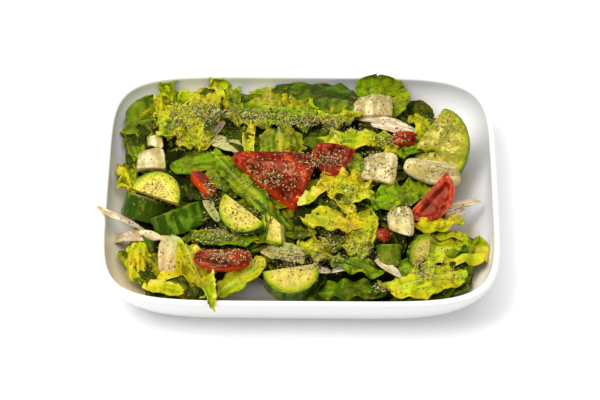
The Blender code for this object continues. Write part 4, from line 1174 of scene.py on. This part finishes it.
def make_herbs(tree):
    draw = random.Random(21)
    bundle = Bundle()
    spots = [(draw.uniform(-112, 112), draw.uniform(-80, 92), 0.0) for _ in range(LOOSE_HERBS)]
    for x, y, long, wide, count in CLUMPS:
        for _ in range(round(count * HERB_SHARE)):
            spots.append((draw.gauss(x, long * CLUMP_SPREAD), draw.gauss(y, wide * CLUMP_SPREAD), 1.0))
    for x, y, heap in spots:
        found = landing(tree, x, y)
        if not found:
            continue
        place, normal = found
        place = place + normal * draw.uniform(0, 0.7) * heap
        pale = draw.random() < 0.15 + 0.4 * heap
        tone = draw.uniform(0.7, 1.0) if pale else draw.uniform(0.0, 0.45)
        long = draw.uniform(0.6, 1.2) * (1 + 0.7 * pale * heap)
        add_flake(bundle, draw, place, normal, long, draw.uniform(0.3, 0.6), 0.15, tone, 0.5)
    paint = flake_paint("dried_herb", 0.6, (0.0, (0.016, 0.012, 0.003)), (0.30, (0.050, 0.048, 0.010)),
                        (0.55, (0.14, 0.13, 0.03)), (0.80, (0.52, 0.43, 0.13)), (1.0, (0.80, 0.68, 0.31)))
    return add_piece("dried_herbs", bundle, paint, "lettuce")


def make_spices(tree):
    draw = random.Random(33)
    pepper, chilli = Bundle(), Bundle()
    for number in range(SPICES):
        found = landing(tree, draw.uniform(-114, 112), draw.uniform(-84, 90))
        if not found:
            continue
        if number % CHILLI_EVERY:
            size = draw.uniform(0.5, 1.1)
            add_flake(pepper, draw, *found, size, size * 0.8, size * 0.5, draw.random(), 0.3)
        else:
            add_flake(chilli, draw, *found, draw.uniform(0.8, 2.2), draw.uniform(0.6, 1.3), 0.2,
                      draw.random(), 0.4)
    dark = flake_paint("ground_pepper", 0.5, (0.0, (0.010, 0.008, 0.005)), (1.0, (0.06, 0.045, 0.02)))
    red = flake_paint("chilli_flake", 0.35, (0.0, (0.20, 0.012, 0.005)), (1.0, (0.52, 0.10, 0.015)))
    return [add_piece("pepper", pepper, dark, "lettuce"), add_piece("chilli_flakes", chilli, red, "tomato")]


# ---- floor, lights and camera
def make_floor():
    bpy.ops.mesh.primitive_plane_add(size=4)
    floor = bpy.context.object
    floor.name = "floor"
    paint = Paint("pale_floor", Roughness=0.7, Base_Color=(0.85, 0.85, 0.85), Emission_Color=(1, 1, 1),
                  Emission_Strength=0.12)
    floor.data.materials.append(paint.material)


def add_light(name, place, size, power, colour):
    data = bpy.data.lights.new(name, "AREA")
    data.shape = "DISK"
    data.size = size
    data.energy = power
    data.color = colour
    light = bpy.data.objects.new(name, data)
    light.location = place
    light.rotation_euler = (-Vector(place)).to_track_quat("-Z", "Y").to_euler()
    bpy.context.scene.collection.objects.link(light)


def make_lights():
    add_light("key", (-0.72, -0.14, 1.45), 1.1, 17.8, (1, 0.985, 0.96))
    add_light("overhead", (0.1, 0.1, 1.6), 1.6, 13.5, (1, 1, 1))
    world = bpy.data.worlds.new("studio")
    bpy.context.scene.world = world
    world.use_nodes = True
    world.node_tree.nodes["Background"].inputs["Color"].default_value = (1, 1, 1, 1)
    world.node_tree.nodes["Background"].inputs["Strength"].default_value = 0.44
    bpy.context.scene.view_settings.view_transform = "Standard"


AIM = Vector((0, 0, 0.018))
CAMERA_AZIMUTH = math.radians(0.5)
CAMERA_ELEVATION = math.radians(52)
CAMERA_AWAY = 1.522
FRAME_WIDTH = 600  # pixels
AIM_BELOW_MIDDLE = 2  # pixels
LENS = 143.28
SENSOR = 36


def make_camera():
    data = bpy.data.cameras.new("camera")
    data.lens = LENS
    data.sensor_width = SENSOR
    data.shift_y = AIM_BELOW_MIDDLE / FRAME_WIDTH
    camera = bpy.data.objects.new("camera", data)
    level = math.cos(CAMERA_ELEVATION)
    back = Vector((math.sin(CAMERA_AZIMUTH) * level, -math.cos(CAMERA_AZIMUTH) * level,
                   math.sin(CAMERA_ELEVATION)))
    camera.location = AIM + back * CAMERA_AWAY
    camera.rotation_euler = (-back).to_track_quat("-Z", "Y").to_euler()
    bpy.context.scene.collection.objects.link(camera)
    bpy.context.scene.camera = camera


def main():
    make_camera()
    make_lights()
    make_floor()
    make_dish()
    heap = [make_core(), *make_leaves(), make_onions(), *make_ribs(), *make_cucumbers(), *make_tomatoes()]
    tree = heap_surface(heap)
    make_herbs(tree)
    make_spices(tree)
    bpy.context.view_layer.update()


main()
